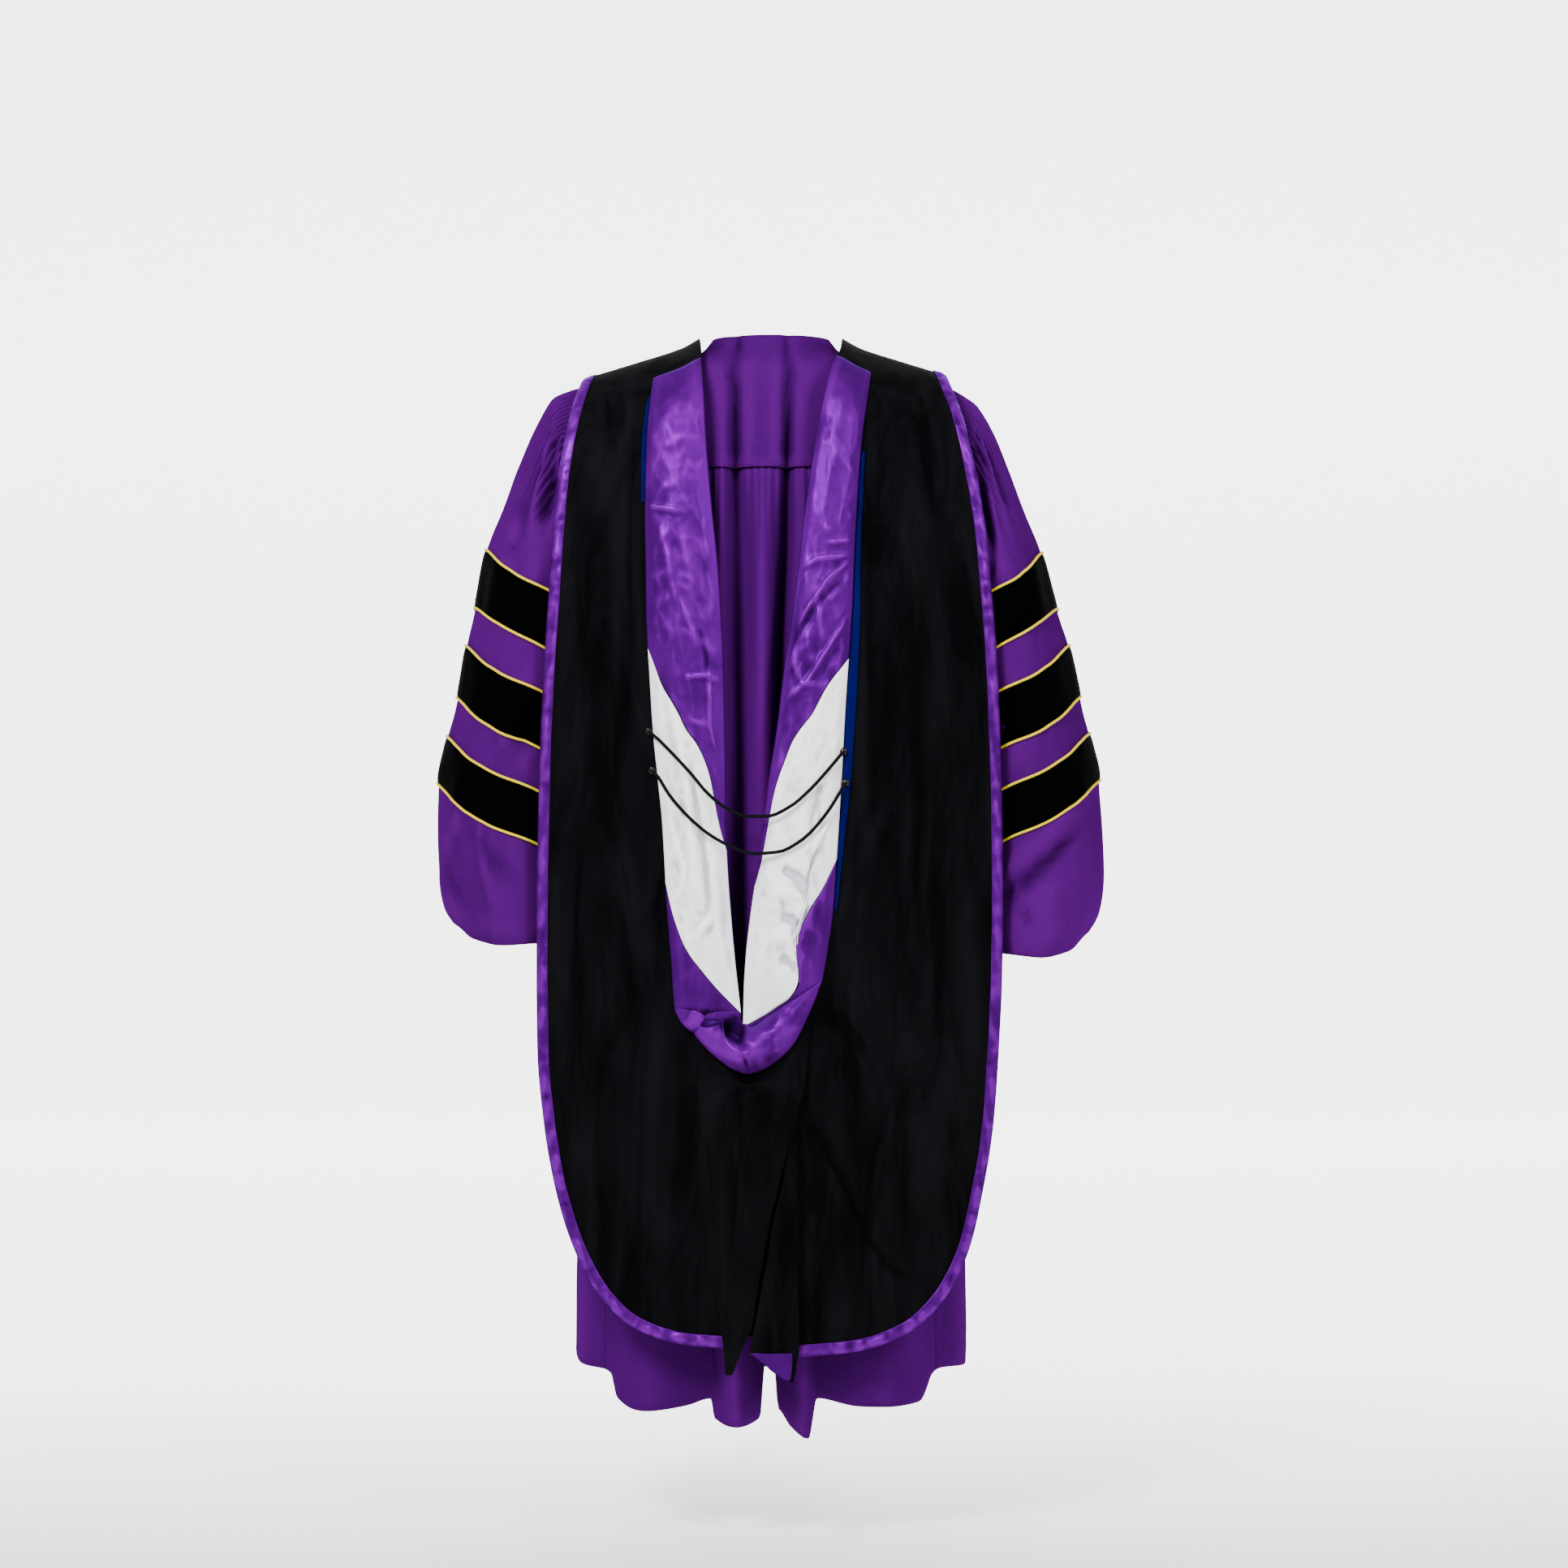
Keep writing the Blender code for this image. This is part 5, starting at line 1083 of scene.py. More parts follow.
for side in ("left", "right"):
    points = sleeveGrid(side, 0.0, 15.0, sleeveShape["down"], sleeveShape["across"])
    away = sleeveOutward(side)
    piece = gridCloth(f"sleeveCloth_{side}", points, gownCloth, bodyShape["wall"], outward=away, closed=True)
    standsFor(piece, "gown_cloth", f"sleeve_{side}")
    for number, (start, end) in enumerate(barShape["edges"], 1):
        margin = barShape["margin"]
        grid = sleeveGrid(side, start + margin, end - margin, barShape["down"], barShape["across"],
                          barShape["headShare"])
        share = np.linspace(0, 1, barShape["down"] + 1)[None, :]
        crown = barShape["crown"] * (1 - (2 * share - 1) ** 6)
        bar, _ = liftedRing(grid, barShape["lie"] + barShape["wall"] + crown)
        piece = gridCloth(f"barCloth_{side}_{number}", bar, barVelvet, barShape["wall"], outward=away,
                          closed=True)
        standsFor(piece, "bar_velvet", f"bar_{side}_{number}")
        for edgeNumber, at in ((1, start), (2, end)):
            beside, points = pipingShape["beside"], pipingShape["points"]
            strip = sleeveGrid(side, at - beside, at + beside, 2, points, barShape["headShare"])
            lifted, normal = liftedRing(strip, pipingShape["lie"] + pipingShape["radius"])
            label = f"{side}_{number}_{edgeNumber}"
            tube = roundTube(f"pipingCord_{label}", lifted[:-1, 1], pipingShape["radius"],
                             pipingShape["sides"], goldCord, facing=normal[:-1, 1])
            standsFor(tube, "gold_piping", f"piping_{label}")
print("sleeves made")


# Hood panels and border

hoodEdge = {
    "columns": ("row", "left_x", "left_drop", "right_x", "right_drop", "inner_drop"),
    "rows": (
        (0.0, 0.036, -0.312, -0.036, -0.312, -0.29), (1.0, 0.085, -0.262, -0.085, -0.262, -0.24),
        (2.0, 0.132, -0.2, -0.132, -0.2, -0.18), (3.0, 0.172, -0.13, -0.172, -0.13, -0.12),
        (4.0, 0.206, -0.066, -0.202, -0.066, -0.066), (5.0, 0.221, -0.024, -0.208, -0.024, -0.024),
        (6.0, 0.229, 0.0, -0.213, 0.0, 0.0), (7.0, 0.234, 0.016, -0.218, 0.016, 0.016),
        (8.0, 0.243, 0.05, -0.23, 0.05, 0.05), (9.0, 0.255, 0.126, -0.247, 0.126, 0.126),
        (10.0, 0.261, 0.205, -0.258, 0.205, 0.205), (11.0, 0.265, 0.284, -0.264, 0.284, 0.29),
        (12.0, 0.27, 0.361, -0.27, 0.361, 0.37), (13.0, 0.2746, 0.457, -0.274, 0.457, 0.46),
        (14.0, 0.277, 0.553, -0.2763, 0.553, 0.555), (15.0, 0.2787, 0.649, -0.277, 0.649, 0.65),
        (16.0, 0.2785, 0.744, -0.2756, 0.744, 0.74), (17.0, 0.277, 0.84, -0.271, 0.84, 0.818),
        (18.0, 0.2695, 0.92, -0.264, 0.928, 0.89), (19.0, 0.257, 0.992, -0.25, 1.01, 0.96),
        (20.0, 0.234, 1.066, -0.235, 1.07, 1.025), (21.0, 0.196, 1.13, -0.203, 1.13, 1.08),
        (22.0, 0.155, 1.163, -0.155, 1.17, 1.118), (23.0, 0.098, 1.179, -0.098, 1.187, 1.144),
        (24.0, 0.048, 1.182, -0.034, 1.192, 1.16),
    ),
}
meetingSeam = {
    "columns": ("drop", "x"),
    "rows": ((0.79, 0.0315), (0.86, 0.026), (0.98, 0.01), (1.08, 0.002), (1.2, 0.0)),
}
slitEnd = 0.802
stripLeft = {
    "columns": ("drop", "inner_x", "outer_x"),
    "rows": (
        (-0.29, 0.001, 0.018), (-0.24, 0.021, 0.045), (-0.18, 0.046, 0.075), (-0.12, 0.067, 0.1),
        (-0.066, 0.079, 0.118), (-0.024, 0.085, 0.128), (0.0, 0.087, 0.132), (0.016, 0.085, 0.136),
        (0.05, 0.082, 0.142), (0.126, 0.077, 0.148), (0.205, 0.069, 0.149), (0.254, 0.063, 0.148),
        (0.322, 0.058, 0.147), (0.39, 0.055, 0.143), (0.457, 0.054, 0.139), (0.514, 0.053, 0.133),
        (0.562, 0.053, 0.128), (0.61, 0.051, 0.125), (0.668, 0.047, 0.122), (0.725, 0.042, 0.117),
        (0.783, 0.0355, 0.113), (0.802, 0.0335, 0.11),
    ),
}
stripRight = {
    "columns": ("drop", "inner_x", "outer_x"),
    "rows": (
        (-0.29, -0.001, -0.018), (-0.24, -0.021, -0.045), (-0.18, -0.046, -0.075), (-0.12, -0.067, -0.1),
        (-0.066, -0.079, -0.116), (-0.024, -0.085, -0.122), (0.0, -0.087, -0.123), (0.016, -0.085, -0.122),
        (0.05, -0.074, -0.118), (0.126, -0.056, -0.108), (0.205, -0.041, -0.102), (0.254, -0.034, -0.099),
        (0.322, -0.025, -0.096), (0.39, -0.015, -0.091), (0.457, -0.007, -0.087), (0.514, 0.002, -0.084),
        (0.562, 0.008, -0.081), (0.61, 0.014, -0.078), (0.668, 0.0225, -0.074), (0.725, 0.029, -0.066),
        (0.77, 0.0315, -0.057), (0.802, 0.032, -0.048),
    ),
}
panelShape = {
    "border": 0.0142, "underBorder": 0.005, "borderWall": 0.001, "across": 84, "down": 210,
    "borderAcross": 8, "borderDown": 420,
    "panelFlat": {"left": (0.24, 1.753), "right": (0.293, 1.76)}, "panelArea": {"left": 0.31, "right": 0.35},
    "borderFlat": (0.018, 1.78), "borderArea": 0.0295,
    "puff": 0.0012, "pucker": 0.0016, "puckerStep": 0.3, "seed": {"left": 51, "right": 57}, "crowd": 1.25,
}


def stripTable(side):
    return stripLeft if side == "left" else stripRight


def slitEdge(side, drop):
    halfSeam = hoodShape["seam"] / 2 * (1 if side == "left" else -1)
    seamX = readTable(meetingSeam, "x", drop) + halfSeam
    return np.where(drop < slitEnd, readTable(stripTable(side), "inner_x", drop), seamX)


def insetCurve(curve, distance, toward):
    along = np.gradient(curve, axis=0)
    along = along / np.linalg.norm(along, axis=1, keepdims=True)
    side = np.stack([-along[:, 1], along[:, 0]], axis=1)
    if np.sum(side * (toward - curve)) < 0:
        side = -side
    return curve + side * distance


def edgeCurves(side, count):
    row = np.linspace(0, 24, count)
    outer = [readTable(hoodEdge, f"{side}_{part}", row) for part in ("x", "drop")]
    innerDrop = readTable(hoodEdge, "inner_drop", row)
    return np.stack(outer, axis=-1), np.stack([slitEdge(side, innerDrop), innerDrop], axis=-1)


def between(first, second, shares):
    return first[None] * (1 - shares[:, None, None]) + second[None] * shares[:, None, None]


def makeHoodPanel(side):
    outer, inner = edgeCurves(side, panelShape["down"] + 1)
    start = insetCurve(outer, panelShape["underBorder"], inner)
    shares = np.linspace(0, 1, panelShape["across"] + 1)
    flat = between(start, inner, shares ** panelShape["crowd"])
    points = onHood(flat[..., 0], flat[..., 1], hoodShape["wall"])
    piece = gridCloth(f"hoodPanel_{side}", points, hoodVelvet, hoodShape["wall"], outward=awayFromWearer)
    standsFor(piece, "hood_velvet", f"hood_panel_{side}")
    # the satin border: a narrow tube of cloth that puckers where it is sewn down
    outer, inner = edgeCurves(side, panelShape["borderDown"] + 1)
    inside = insetCurve(outer, panelShape["border"], inner)
    shares = np.linspace(0, 1, panelShape["borderAcross"] + 1)
    flat = between(outer, inside, shares)
    along = np.arange(panelShape["borderDown"] + 1)[None, :] * panelShape["puckerStep"]
    across = shares[:, None]
    seed = panelShape["seed"][side]
    pucker = softNoise(along * 0.9 + across * 1.4, across * 2.0, seed)
    pucker = pucker + 0.8 * softNoise(along * 2.3, across * 1.2, seed + 2)
    fullness = np.sin(math.pi * np.clip(across * 0.92 + 0.04, 0, 1))
    lift = hoodShape["wall"] + panelShape["borderWall"] * (0.3 + smoothStep(0.0, 0.3, across))
    lift = lift + fullness * (panelShape["puff"] + panelShape["pucker"] * pucker)
    points = onHood(flat[..., 0], flat[..., 1], lift)
    piece = gridCloth(f"hoodBorder_{side}", points, purpleSatin, panelShape["borderWall"],
                      outward=awayFromWearer)
    standsFor(piece, "border_satin", f"hood_border_{side}")


for side in ("left", "right"):
    makeHoodPanel(side)
print("hood panels made")


# Satin lining strips

stripSeams = {
    "columns": ("share", "drop"),
    "left": {
        "start": ((0.0, 0.036), (1.0, 0.036)),
        "upper": ((0.0, 0.598), (0.035, 0.588), (0.141, 0.548), (0.233, 0.507), (0.365, 0.476),
                  (0.516, 0.456), (0.607, 0.4376), (0.822, 0.403), (1.0, 0.359)),
        "lower": ((0.0, 0.791), (0.27, 0.767), (0.495, 0.745), (0.76, 0.713), (0.887, 0.681), (1.0, 0.638)),
        "end": ((0.0, 0.796), (1.0, 0.792)),
    },
    "right": {
        "start": ((0.0, 0.036), (1.0, 0.036)),
        "upper": ((0.0, 0.64), (0.04, 0.614), (0.061, 0.589), (0.073, 0.56), (0.105, 0.526), (0.18, 0.494),
                  (0.256, 0.469), (0.49, 0.438), (0.7, 0.404), (1.0, 0.371)),
        "lower": ((0.0, 0.807), (0.29, 0.794), (0.47, 0.783), (0.59, 0.773), (0.64, 0.745), (0.66, 0.7),
                  (0.71, 0.67), (0.81, 0.651), (0.91, 0.63), (1.0, 0.61)),
        "end": ((0.0, 0.811), (0.29, 0.7985), (0.47, 0.788), (0.64, 0.7775), (1.0, 0.755)),
    },
}
seamNotch = {
    "middle": 0.64, "spread": 0.13, "amount": 0.075, "inDrop": 0.703, "outDrop": 0.752, "reach": 0.02,
}
stripShape = {
    "seam": 0.0007, "puff": 0.01, "fills": (0.03, 0.12), "empties": (0.8, 0.7), "across": 44,
    "wrinkle": 0.0015, "fine": 0.0007, "fineScale": (90, 60), "crush": (40, 10, 9),
    "seed": {"left": 61, "right": 67}, "held": 0.16, "leastHeld": 0.35, "lift": 0.001,
    "purple": {"steep": 26.0, "amount": 0.8, "creases": 0.95, "seed": 0},
    "white": {"steep": 11.0, "amount": 1.5, "creases": 2.1, "seed": 4},
}
satinCreases = {
    "columns": ("height", "startWidth", "endWidth", "path"),
    "rows": (
        (0.003, 0.0025, 0.003, ((0.149, -0.189), (0.101, -0.199))),
        (-0.0022, 0.006, 0.007, ((0.116, -0.2), (0.1, -0.3))),
        (0.0022, 0.005, 0.004, ((0.13, -0.21), (0.108, -0.31))),
        (0.0022, 0.0035, 0.003, ((0.106, -0.296), (0.087, -0.355))),
        (0.0026, 0.0022, 0.0026, ((0.103, -0.396), (0.075, -0.392), (0.052, -0.398))),
        (0.0026, 0.0025, 0.0028, ((0.071, -0.37), (0.0705, -0.453), (0.058, -0.5))),
        (0.002, 0.0022, 0.0022, ((0.094, -0.446), (0.072, -0.452))),
        (-0.0024, 0.004, 0.004, ((0.085, -0.33), (0.066, -0.42))),
        (0.003, 0.0026, 0.003, ((-0.034, -0.266), (-0.055, -0.254), (-0.098, -0.25))),
        (0.0022, 0.0025, 0.0025, ((-0.066, -0.236), (-0.098, -0.231))),
        (0.0036, 0.003, 0.0036, ((-0.098, -0.252), (-0.063, -0.282), (-0.034, -0.328), (-0.02, -0.366))),
        (-0.0026, 0.0045, 0.005, ((-0.09, -0.272), (-0.052, -0.31), (-0.034, -0.352))),
        (0.0034, 0.0028, 0.0034, ((-0.093, -0.32), (-0.066, -0.363), (-0.039, -0.403), (-0.014, -0.425))),
        (0.0026, 0.0024, 0.0028, ((-0.019, -0.363), (-0.036, -0.402), (-0.066, -0.404))),
        (-0.0026, 0.0045, 0.005, ((-0.084, -0.35), (-0.05, -0.41))),
        (0.0024, 0.004, 0.004, ((-0.052, -0.29), (-0.06, -0.36))),
    ),
}
whiteCreases = {
    "columns": ("height", "startWidth", "endWidth", "path"),
    "rows": (
        (0.0026, 0.006, 0.006, ((0.116, -0.42), (0.096, -0.52), (0.088, -0.64))),
        (-0.0026, 0.005, 0.006, ((0.098, -0.48), (0.078, -0.6), (0.07, -0.7))),
        (0.0022, 0.003, 0.003, ((0.106, -0.716), (0.078, -0.69), (0.06, -0.665))),
        (0.0022, 0.003, 0.003, ((0.12, -0.66), (0.104, -0.64), (0.098, -0.61))),
        (0.0022, 0.005, 0.004, ((0.068, -0.6), (0.06, -0.7), (0.045, -0.76))),
        (-0.003, 0.006, 0.006, ((-0.012, -0.62), (-0.04, -0.632))),
        (0.003, 0.006, 0.006, ((-0.006, -0.648), (-0.04, -0.654), (-0.054, -0.672))),
        (-0.003, 0.006, 0.006, ((-0.01, -0.676), (-0.046, -0.684))),
        (0.003, 0.006, 0.006, ((-0.004, -0.7), (-0.036, -0.704))),
        (-0.0028, 0.006, 0.007, ((-0.008, -0.726), (-0.04, -0.732))),
        (0.0024, 0.003, 0.0035, ((-0.07, -0.56), (-0.05, -0.6), (-0.034, -0.62))),
        (0.002, 0.0025, 0.003, ((-0.08, -0.5), (-0.06, -0.52))),
    ),
}


def stripLift(side, share, x, drop, white):
    look = stripShape["white" if white else "purple"]
    full = smoothStep(*stripShape["fills"], drop) * smoothStep(*stripShape["empties"], drop)
    seed = stripShape["seed"][side] + look["seed"]
    across, leanDown, leanAcross = stripShape["crush"]
    if side == "right":
        leanDown, leanAcross = -leanDown, -leanAcross
    crushed = creaseNoise(x * across + drop * leanDown, drop * look["steep"] - x * leanAcross, seed)
    fineAcross, fineDown = stripShape["fineScale"]
    fine = creaseNoise(x * fineAcross, drop * fineDown, seed + 1)
    held = smoothStep(0.0, stripShape["held"], share) * smoothStep(1.0, 1 - stripShape["held"], share)
    creases = foldHeight(whiteCreases if white else satinCreases, x, hoodSurface(x, drop)[..., 2])
    wrinkles = look["amount"] * (stripShape["wrinkle"] * crushed + stripShape["fine"] * fine)
    wrinkles = (creases * look["creases"] + wrinkles) * np.maximum(full, stripShape["leastHeld"])
    return np.sin(math.pi * share) * full * stripShape["puff"] + held * (wrinkles + stripShape["lift"])


def stripPiece(name, node, side, first, last, down, material, slot, white=False, shade=0.0):
    seams = stripSeams[side]
    share = np.linspace(0, 1, stripShape["across"] + 1)[:, None]
    fall = np.linspace(0, 1, down + 1)[None, :]
    top, bottom = (
        readTable({"columns": stripSeams["columns"], "rows": seams[seam]}, "drop", share)
        for seam in (first, last)
    )
    top, bottom = top + stripShape["seam"], bottom - stripShape["seam"]
    drop = top * (1 - fall) + bottom * fall
    share = share + 0 * drop
    if side == "right":
        # the white satin is nipped in above the roll and swells out below that
        inward = np.exp(-(((drop - seamNotch["inDrop"]) / seamNotch["reach"]) ** 2))
        outward = np.exp(-(((drop - seamNotch["outDrop"]) / seamNotch["reach"]) ** 2))
        near = np.exp(-(((share - seamNotch["middle"]) / seamNotch["spread"]) ** 2))
        share = share + seamNotch["amount"] * near * (outward - inward)
    table = stripTable(side)
    x = readTable(table, "inner_x", drop) * (1 - share) + readTable(table, "outer_x", drop) * share
    ends = np.sin(math.pi * np.clip(fall, 0, 1)) ** 0.25
    lift = hoodShape["wall"] + hoodShape["lie"] + hoodShape["satinWall"]
    lift = lift + stripLift(side, share, x, drop, white) * (0.75 + 0.25 * ends)
    points = onHood(x, drop, lift)
    piece = gridCloth(name, points, material, hoodShape["satinWall"], outward=awayFromWearer, shade=shade)
    standsFor(piece, slot, node)


# painted shade over the lower lining pieces, added to their fold maps
lowerShade = {"left": 0.055, "right": 0.02}
for side in ("left", "right"):
    stripPiece(f"lining_{side}_upper", f"hood_lining_{side}_upper", side, "start", "upper", 150, purpleSatin,
               "lining_satin")
    stripPiece(f"chevron_{side}", f"hood_chevron_{side}", side, "upper", "lower", 90, whiteSatin,
               "chevron_satin", white=True)
    stripPiece(f"lining_{side}_lower", f"hood_lining_{side}_lower", side, "lower", "end", 40, purpleSatin,
               "lining_satin", shade=lowerShade[side])

blueEdge = {
    "left": {"columns": ("drop", "width"), "rows": ((0.06, 0.003), (0.11, 0.005), (0.185, 0.004))},
    "right": {
        "columns": ("drop", "width"),
        "rows": (
            (0.135, 0.004), (0.3, 0.007), (0.42, 0.0105), (0.5, 0.01), (0.6, 0.006), (0.67, 0.003),
        ),
    },
    "gap": {"left": 0.0006, "right": 0.0012}, "flat": {"left": (0.01, 0.136), "right": (0.012, 0.55)},
    "area": {"left": 0.00063, "right": 0.0047}, "crown": 0.0006, "down": 120, "across": 6,
}
for side, away in (("left", 1.0), ("right", -1.0)):
    table, gap = blueEdge[side], blueEdge["gap"][side]
    drop = np.linspace(table["rows"][0][0], table["rows"][-1][0], blueEdge["down"] + 1)
    edge = readTable(stripTable(side), "outer_x", drop)
    near = np.stack([edge + away * gap, drop], axis=-1)
    far = np.stack([edge + away * (gap + readTable(table, "width", drop)), drop], axis=-1)
    shares = np.linspace(0, 1, blueEdge["across"] + 1)
    flat = between(near, far, shares)
    lift = hoodShape["wall"] + hoodShape["lie"] + hoodShape["satinWall"]
    lift = lift + blueEdge["crown"] * np.sin(math.pi * shares)[:, None]
    points = onHood(flat[..., 0], flat[..., 1], lift + 0 * flat[..., 0])
    piece = gridCloth(f"blueEdge_{side}", points, blueVelvet, hoodShape["satinWall"], outward=awayFromWearer)
    standsFor(piece, "blue_velvet", f"hood_velvet_edge_{side}")
print("lining made")


# Rolled end of the lining and the velvet tail

rollShape = {
    "columns": ("s", "inner_x", "inner_drop", "outer_x", "outer_drop", "out", "hollow"),
    "rows": (
        (0.0, 0.0372, 0.788, 0.1127, 0.784, 0.01, 0.0), (1.0, 0.0368, 0.7905, 0.108, 0.798, 0.014, 0.3),
        (2.0, 0.0362, 0.7935, 0.094, 0.813, 0.022, 0.7), (3.0, 0.0352, 0.797, 0.067, 0.84, 0.028, 1.0),
        (4.0, 0.0336, 0.8, 0.043, 0.857, 0.032, 1.0), (5.0, 0.0314, 0.802, 0.027, 0.862, 0.032, 0.5),
        (6.0, 0.029, 0.8022, 0.009, 0.857, 0.032, 0.1), (7.0, 0.0262, 0.8045, -0.024, 0.831, 0.028, 0.0),
        (8.0, 0.0232, 0.806, -0.048, 0.786, 0.02, 0.0), (9.0, 0.02, 0.8055, -0.061, 0.752, 0.01, 0.0),
    ),
    "lie": 0.002, "across": 64, "down": 72, "flat": (0.096, 0.271), "area": 0.0137,
    "shade": 0.3, "creases": 1.5, "crush": 0.0016, "crushScale": 50, "seed": 71,
}
rollCreases = {
    "columns": ("height", "startWidth", "endWidth", "path"),
    "rows": (
        (0.0025, 0.0022, 0.0026, ((0.104, -0.812), (0.086, -0.822), (0.07, -0.838))),
        (-0.0022, 0.002, 0.0024, ((0.06, -0.85), (0.072, -0.838))),
        (-0.004, 0.002, 0.0026, ((0.03, -0.842), (0.026, -0.856), (0.024, -0.872))),
        (0.0024, 0.0022, 0.0022, ((0.014, -0.846), (0.004, -0.862))),
        (-0.0026, 0.002, 0.0022, ((0.004, -0.84), (-0.008, -0.858))),
        (0.0024, 0.0022, 0.0022, ((-0.006, -0.832), (-0.022, -0.846))),
        (-0.0026, 0.002, 0.0024, ((-0.014, -0.822), (-0.034, -0.834))),
        (0.0024, 0.0022, 0.0024, ((-0.024, -0.806), (-0.044, -0.812))),
        (-0.0022, 0.0022, 0.0024, ((-0.036, -0.78), (-0.054, -0.782))),
    ),
}


def makeRoll():
    s = np.linspace(0, 9, rollShape["down"] + 1)[None, :]
    share = np.linspace(0, 1, rollShape["across"] + 1)[:, None]
    x = readTable(rollShape, "inner_x", s) * (1 - share) + readTable(rollShape, "outer_x", s) * share
    drop = readTable(rollShape, "inner_drop", s) * (1 - share) + readTable(rollShape, "outer_drop", s) * share
    hollow = readTable(rollShape, "hollow", s)
    round1 = np.sin(math.pi * share) ** 0.8
    round2 = smoothStep(0.3, 0.66, share) * np.sin(math.pi * np.clip((share - 0.28) / 0.72, 0, 1)) ** 0.55
    profile = round1 * (1 - hollow) + round2 * hollow
    held = np.sin(math.pi * share)
    scale = rollShape["crushScale"]
    wrinkles = rollShape["creases"] * foldHeight(rollCreases, x, -drop)
    wrinkles = wrinkles + rollShape["crush"] * creaseNoise(x * scale, drop * scale, rollShape["seed"])
    lift = hoodShape["wall"] + rollShape["lie"] + readTable(rollShape, "out", s) * profile + wrinkles * held
    points = onHood(x, drop, lift)
    # painted shade darkening the roll's hollow, added to its fold map
    inside = rollShape["shade"] * hollow * smoothStep(0.62, 0.3, share) * smoothStep(0.0, 0.06, share)
    piece = gridCloth("hoodRoll", points, purpleSatin, hoodShape["satinWall"], outward=awayFromWearer,
                      shade=inside)
    standsFor(piece, "lining_satin", "hood_roll")


rollLowerEdge = {
    "columns": ("x", "drop"),
    "rows": (
        (-0.061, 0.752), (-0.048, 0.786), (-0.024, 0.831), (0.009, 0.857), (0.027, 0.862), (0.043, 0.857),
        (0.067, 0.84), (0.094, 0.813),
    ),
}
tailPieces = {
    "main": {
        "columns": ("drop", "left_x", "right_x", "lift"),
        "rows": (
            (0.82, 0.085, -0.048, 0.004), (0.875, 0.08, -0.04, 0.016), (0.904, 0.076, -0.03, 0.02),
            (0.943, 0.072, -0.021, 0.02), (0.983, 0.069, -0.0115, 0.02), (1.061, 0.063, 0.006, 0.02),
            (1.121, 0.059, 0.0155, 0.02), (1.161, 0.056, 0.0225, 0.02), (1.187, 0.053, 0.034, 0.02),
            (1.21, 0.0515, 0.0435, 0.02),
        ),
        "puff": 0.012, "across": 56, "down": 110, "flat": (0.16, 0.438), "area": 0.0304,
    },
    "side": {
        "columns": ("drop", "left_x", "right_x", "lift"),
        "rows": (
            (0.943, -0.0215, -0.0265, 0.02), (0.983, -0.0145, -0.028, 0.02), (1.042, -0.002, -0.03, 0.02),
            (1.121, 0.011, -0.032, 0.02), (1.165, 0.0195, -0.033, 0.02), (1.186, 0.0225, -0.0325, 0.02),
            (1.198, 0.003, -0.031, 0.02), (1.218, -0.0225, -0.0275, 0.02),
        ),
        "puff": 0.009, "across": 30, "down": 80, "flat": (0.043, 0.287), "area": 0.01,
    },
    "corner": {
        "columns": ("drop", "left_x", "right_x", "lift"),
        "rows": (
            (1.185, 0.0225, -0.0262, 0.032), (1.195, 0.01, -0.0262, 0.032), (1.205, -0.004, -0.0255, 0.032),
            (1.214, -0.017, -0.0238, 0.032),
        ),
        "puff": 0.002, "across": 24, "down": 26, "flat": (0.05, 0.03), "area": 0.00096, "shade": 0.07,
    },
    "tuck": 0.0035, "fullWidth": 0.05, "rumple": (0.0008, 70, 20, 81),
}
tailCreases = {
    "columns": ("height", "startWidth", "endWidth", "path"),
    "rows": (
        (0.004, 0.004, 0.005, ((0.022, -0.89), (0.036, -1.045), (0.046, -1.19))),
        (-0.003, 0.004, 0.005, ((0.034, -0.93), (0.046, -1.06), (0.052, -1.18))),
        (-0.004, 0.003, 0.0034, ((0.032, -0.868), (0.004, -0.905), (-0.018, -0.94))),
        (0.003, 0.003, 0.003, ((0.036, -0.884), (0.006, -0.92), (-0.014, -0.954))),
        (-0.0024, 0.004, 0.004, ((0.058, -0.9), (0.06, -1.06))),
        (0.002, 0.003, 0.003, ((-0.012, -1.02), (-0.016, -1.15))),
    ),
}


def makeTail(name, material, slot, wall):
    table = tailPieces[name]
    rows = table["rows"]
    fall = np.linspace(0, 1, table["down"] + 1)[None, :]
    drop = rows[0][0] + (rows[-1][0] - rows[0][0]) * fall
    share = np.linspace(0, 1, table["across"] + 1)[:, None]
    left, right = readTable(table, "left_x", drop), readTable(table, "right_x", drop)
    x = left * (1 - share) + right * share
    full = np.minimum(np.abs(left - right) / tailPieces["fullWidth"], 1.0)
    lift = readTable(table, "lift", drop) + table["puff"] * full * np.sin(math.pi * share)
    drop = drop + 0 * share
    if name == "main":
        # the top edge follows the roll that it comes out from under
        tucked = readTable(rollLowerEdge, "drop", x[:, :1]) + tailPieces["tuck"]
        near = smoothStep(rows[1][0] + 0.02, rows[0][0], drop)
        drop = drop + (np.maximum(tucked, rows[0][0] - 0.06) - rows[0][0]) * near * (1 - fall) ** 2
        lift = lift * (1 - near) + (tailPieces["tuck"] + 0.01 * np.sin(math.pi * share) * (1 - near)) * near
    if name != "corner":
        held = np.sin(math.pi * share) ** 0.7
        creases = foldHeight(tailCreases, x, -drop) + rumple(tailPieces["rumple"], x, drop)
        lift = lift + held * full * creases
    points = onHood(x, drop, lift)
    # painted shade from the table, set only for the corner, added to its fold map
    shade = table.get("shade", 0)
    piece = gridCloth(f"hoodTail_{name}", points, material, wall, outward=awayFromWearer, shade=shade)
    standsFor(piece, slot, f"hood_tail_{name}")


makeRoll()
makeTail("main", hoodVelvet, "hood_velvet", hoodShape["wall"])
makeTail("side", hoodVelvet, "hood_velvet", hoodShape["wall"])
makeTail("corner", purpleSatin, "border_satin", hoodShape["satinWall"])
print("roll and tail made")


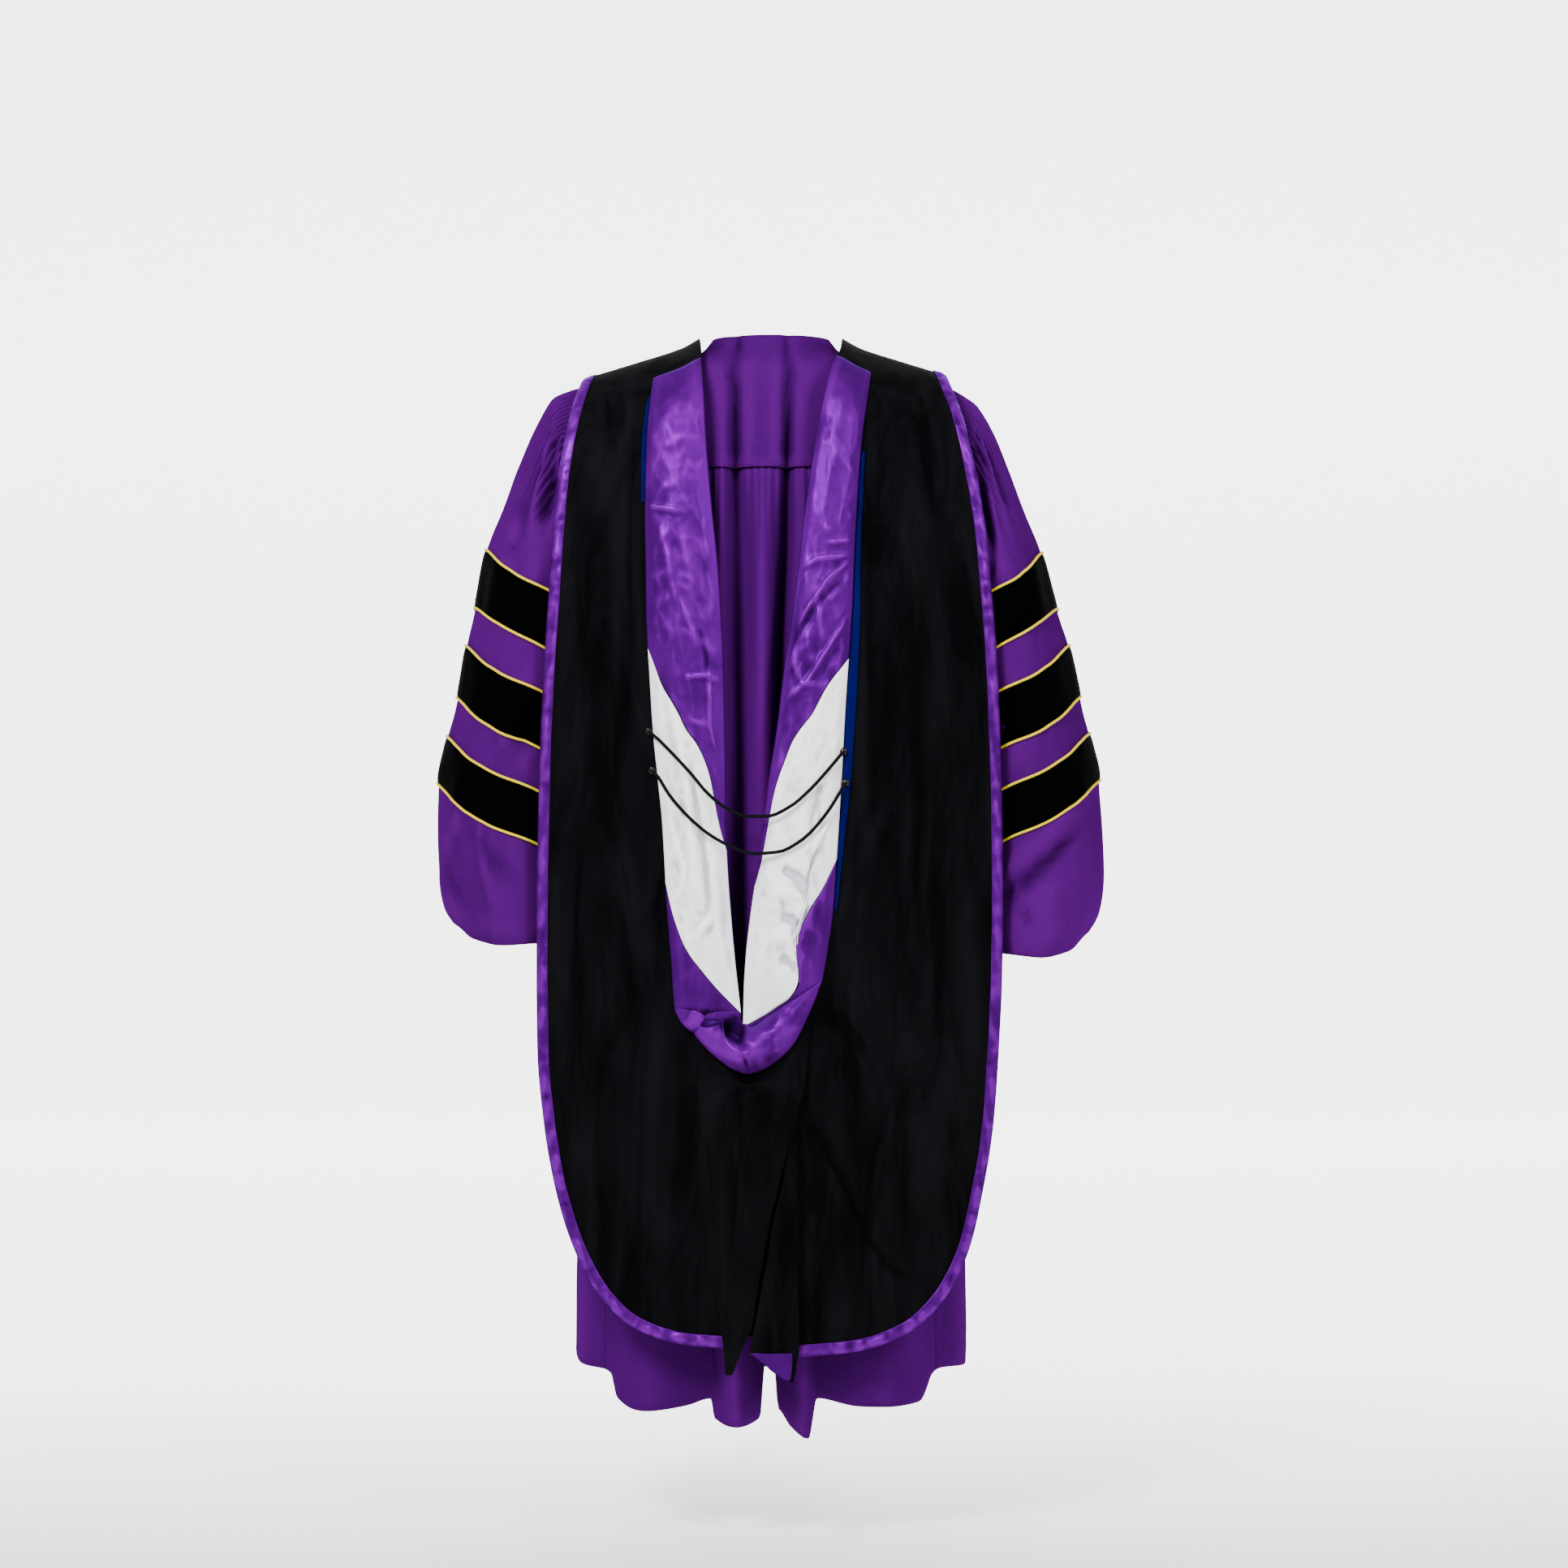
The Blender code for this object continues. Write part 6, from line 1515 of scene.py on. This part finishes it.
# Floor, backdrop and light

studio = {
    "floor": -1.42, "halfWidth": 9.0, "near": 7.0, "far": -5.0, "bend": 2.0, "height": 7.0, "tone": 0.92,
    "world": 0.36, "glow": 3.2, "glowFrom": 0.45, "glowTo": -1.1,
}


def makeSweep():
    shape = bmesh.new()
    bmesh.ops.create_grid(shape, x_segments=2, y_segments=60, size=1.0)
    run = studio["near"] - studio["far"]
    curve = math.pi / 2 * studio["bend"]
    for vert in shape.verts:
        along = (vert.co.y + 1) / 2 * (run + curve + studio["height"])
        if along < run:
            y, z = studio["near"] - along, 0.0
        elif along < run + curve:
            turn = (along - run) / studio["bend"]
            y, z = studio["far"] - studio["bend"] * math.sin(turn), studio["bend"] * (1 - math.cos(turn))
        else:
            y, z = studio["far"] - studio["bend"], studio["bend"] + along - run - curve
        vert.co = (vert.co.x * studio["halfWidth"], y, studio["floor"] + z)
    bmesh.ops.recalc_face_normals(shape, faces=shape.faces)
    mesh = bpy.data.meshes.new("sweep")
    shape.to_mesh(mesh)
    shape.free()
    mesh.shade_smooth()
    material, tree, shader = nodeMaterial("sweepPaper", {"Roughness": 0.9, "Specular IOR Level": 0.1})
    tone = studio["tone"]
    grain = noise(tree, place(tree, "object", (1.2, 1.2, 1.2)), 2.0, 0.5)
    colour = blendColour(tree, grain, (tone, tone, tone), (tone + 0.01, tone + 0.01, tone + 0.01))
    tree.links.new(colour, shader.inputs["Base Color"])
    # the paper is lit up behind the gown, as a white studio backdrop is
    depth = tree.nodes.new("ShaderNodeSeparateXYZ")
    tree.links.new(place(tree, "object", (1.0, 1.0, 1.0)), depth.inputs["Vector"])
    glow = spread(tree, depth.outputs["Y"], studio["glowTo"], studio["glowFrom"], studio["glow"], 0.0)
    shader.inputs["Emission Color"].default_value = (1.0, 1.0, 1.0, 1.0)
    tree.links.new(glow, shader.inputs["Emission Strength"])
    addMesh("sweep", mesh, material)


def addLight(name, spot, aim, size, power):
    data = bpy.data.lights.new(name, "AREA")
    data.shape = "RECTANGLE"
    data.size, data.size_y = size
    data.energy = power
    lamp = bpy.data.objects.new(name, data)
    lamp.location = spot
    lamp.rotation_euler = (Vector(aim) - Vector(spot)).to_track_quat("-Z", "Y").to_euler()
    bpy.context.scene.collection.objects.link(lamp)


makeSweep()
world = bpy.data.worlds.new("studio")
bpy.context.scene.world = world
world.use_nodes = True
world.node_tree.nodes["Background"].inputs["Color"].default_value = (1.0, 1.0, 1.0, 1.0)
world.node_tree.nodes["Background"].inputs["Strength"].default_value = studio["world"]
lamps = {
    "keyLight": {"spot": (1.2, 2.5, 1.45), "aim": (0.0, 0.1, -0.25), "size": (0.9, 1.2), "power": 185.0},
    "fillLight": {"spot": (-2.0, 2.4, 1.1), "aim": (0.0, 0.1, -0.25), "size": (1.0, 1.4), "power": 88.0},
}
for name, lamp in lamps.items():
    addLight(name, **lamp)
print("studio made")
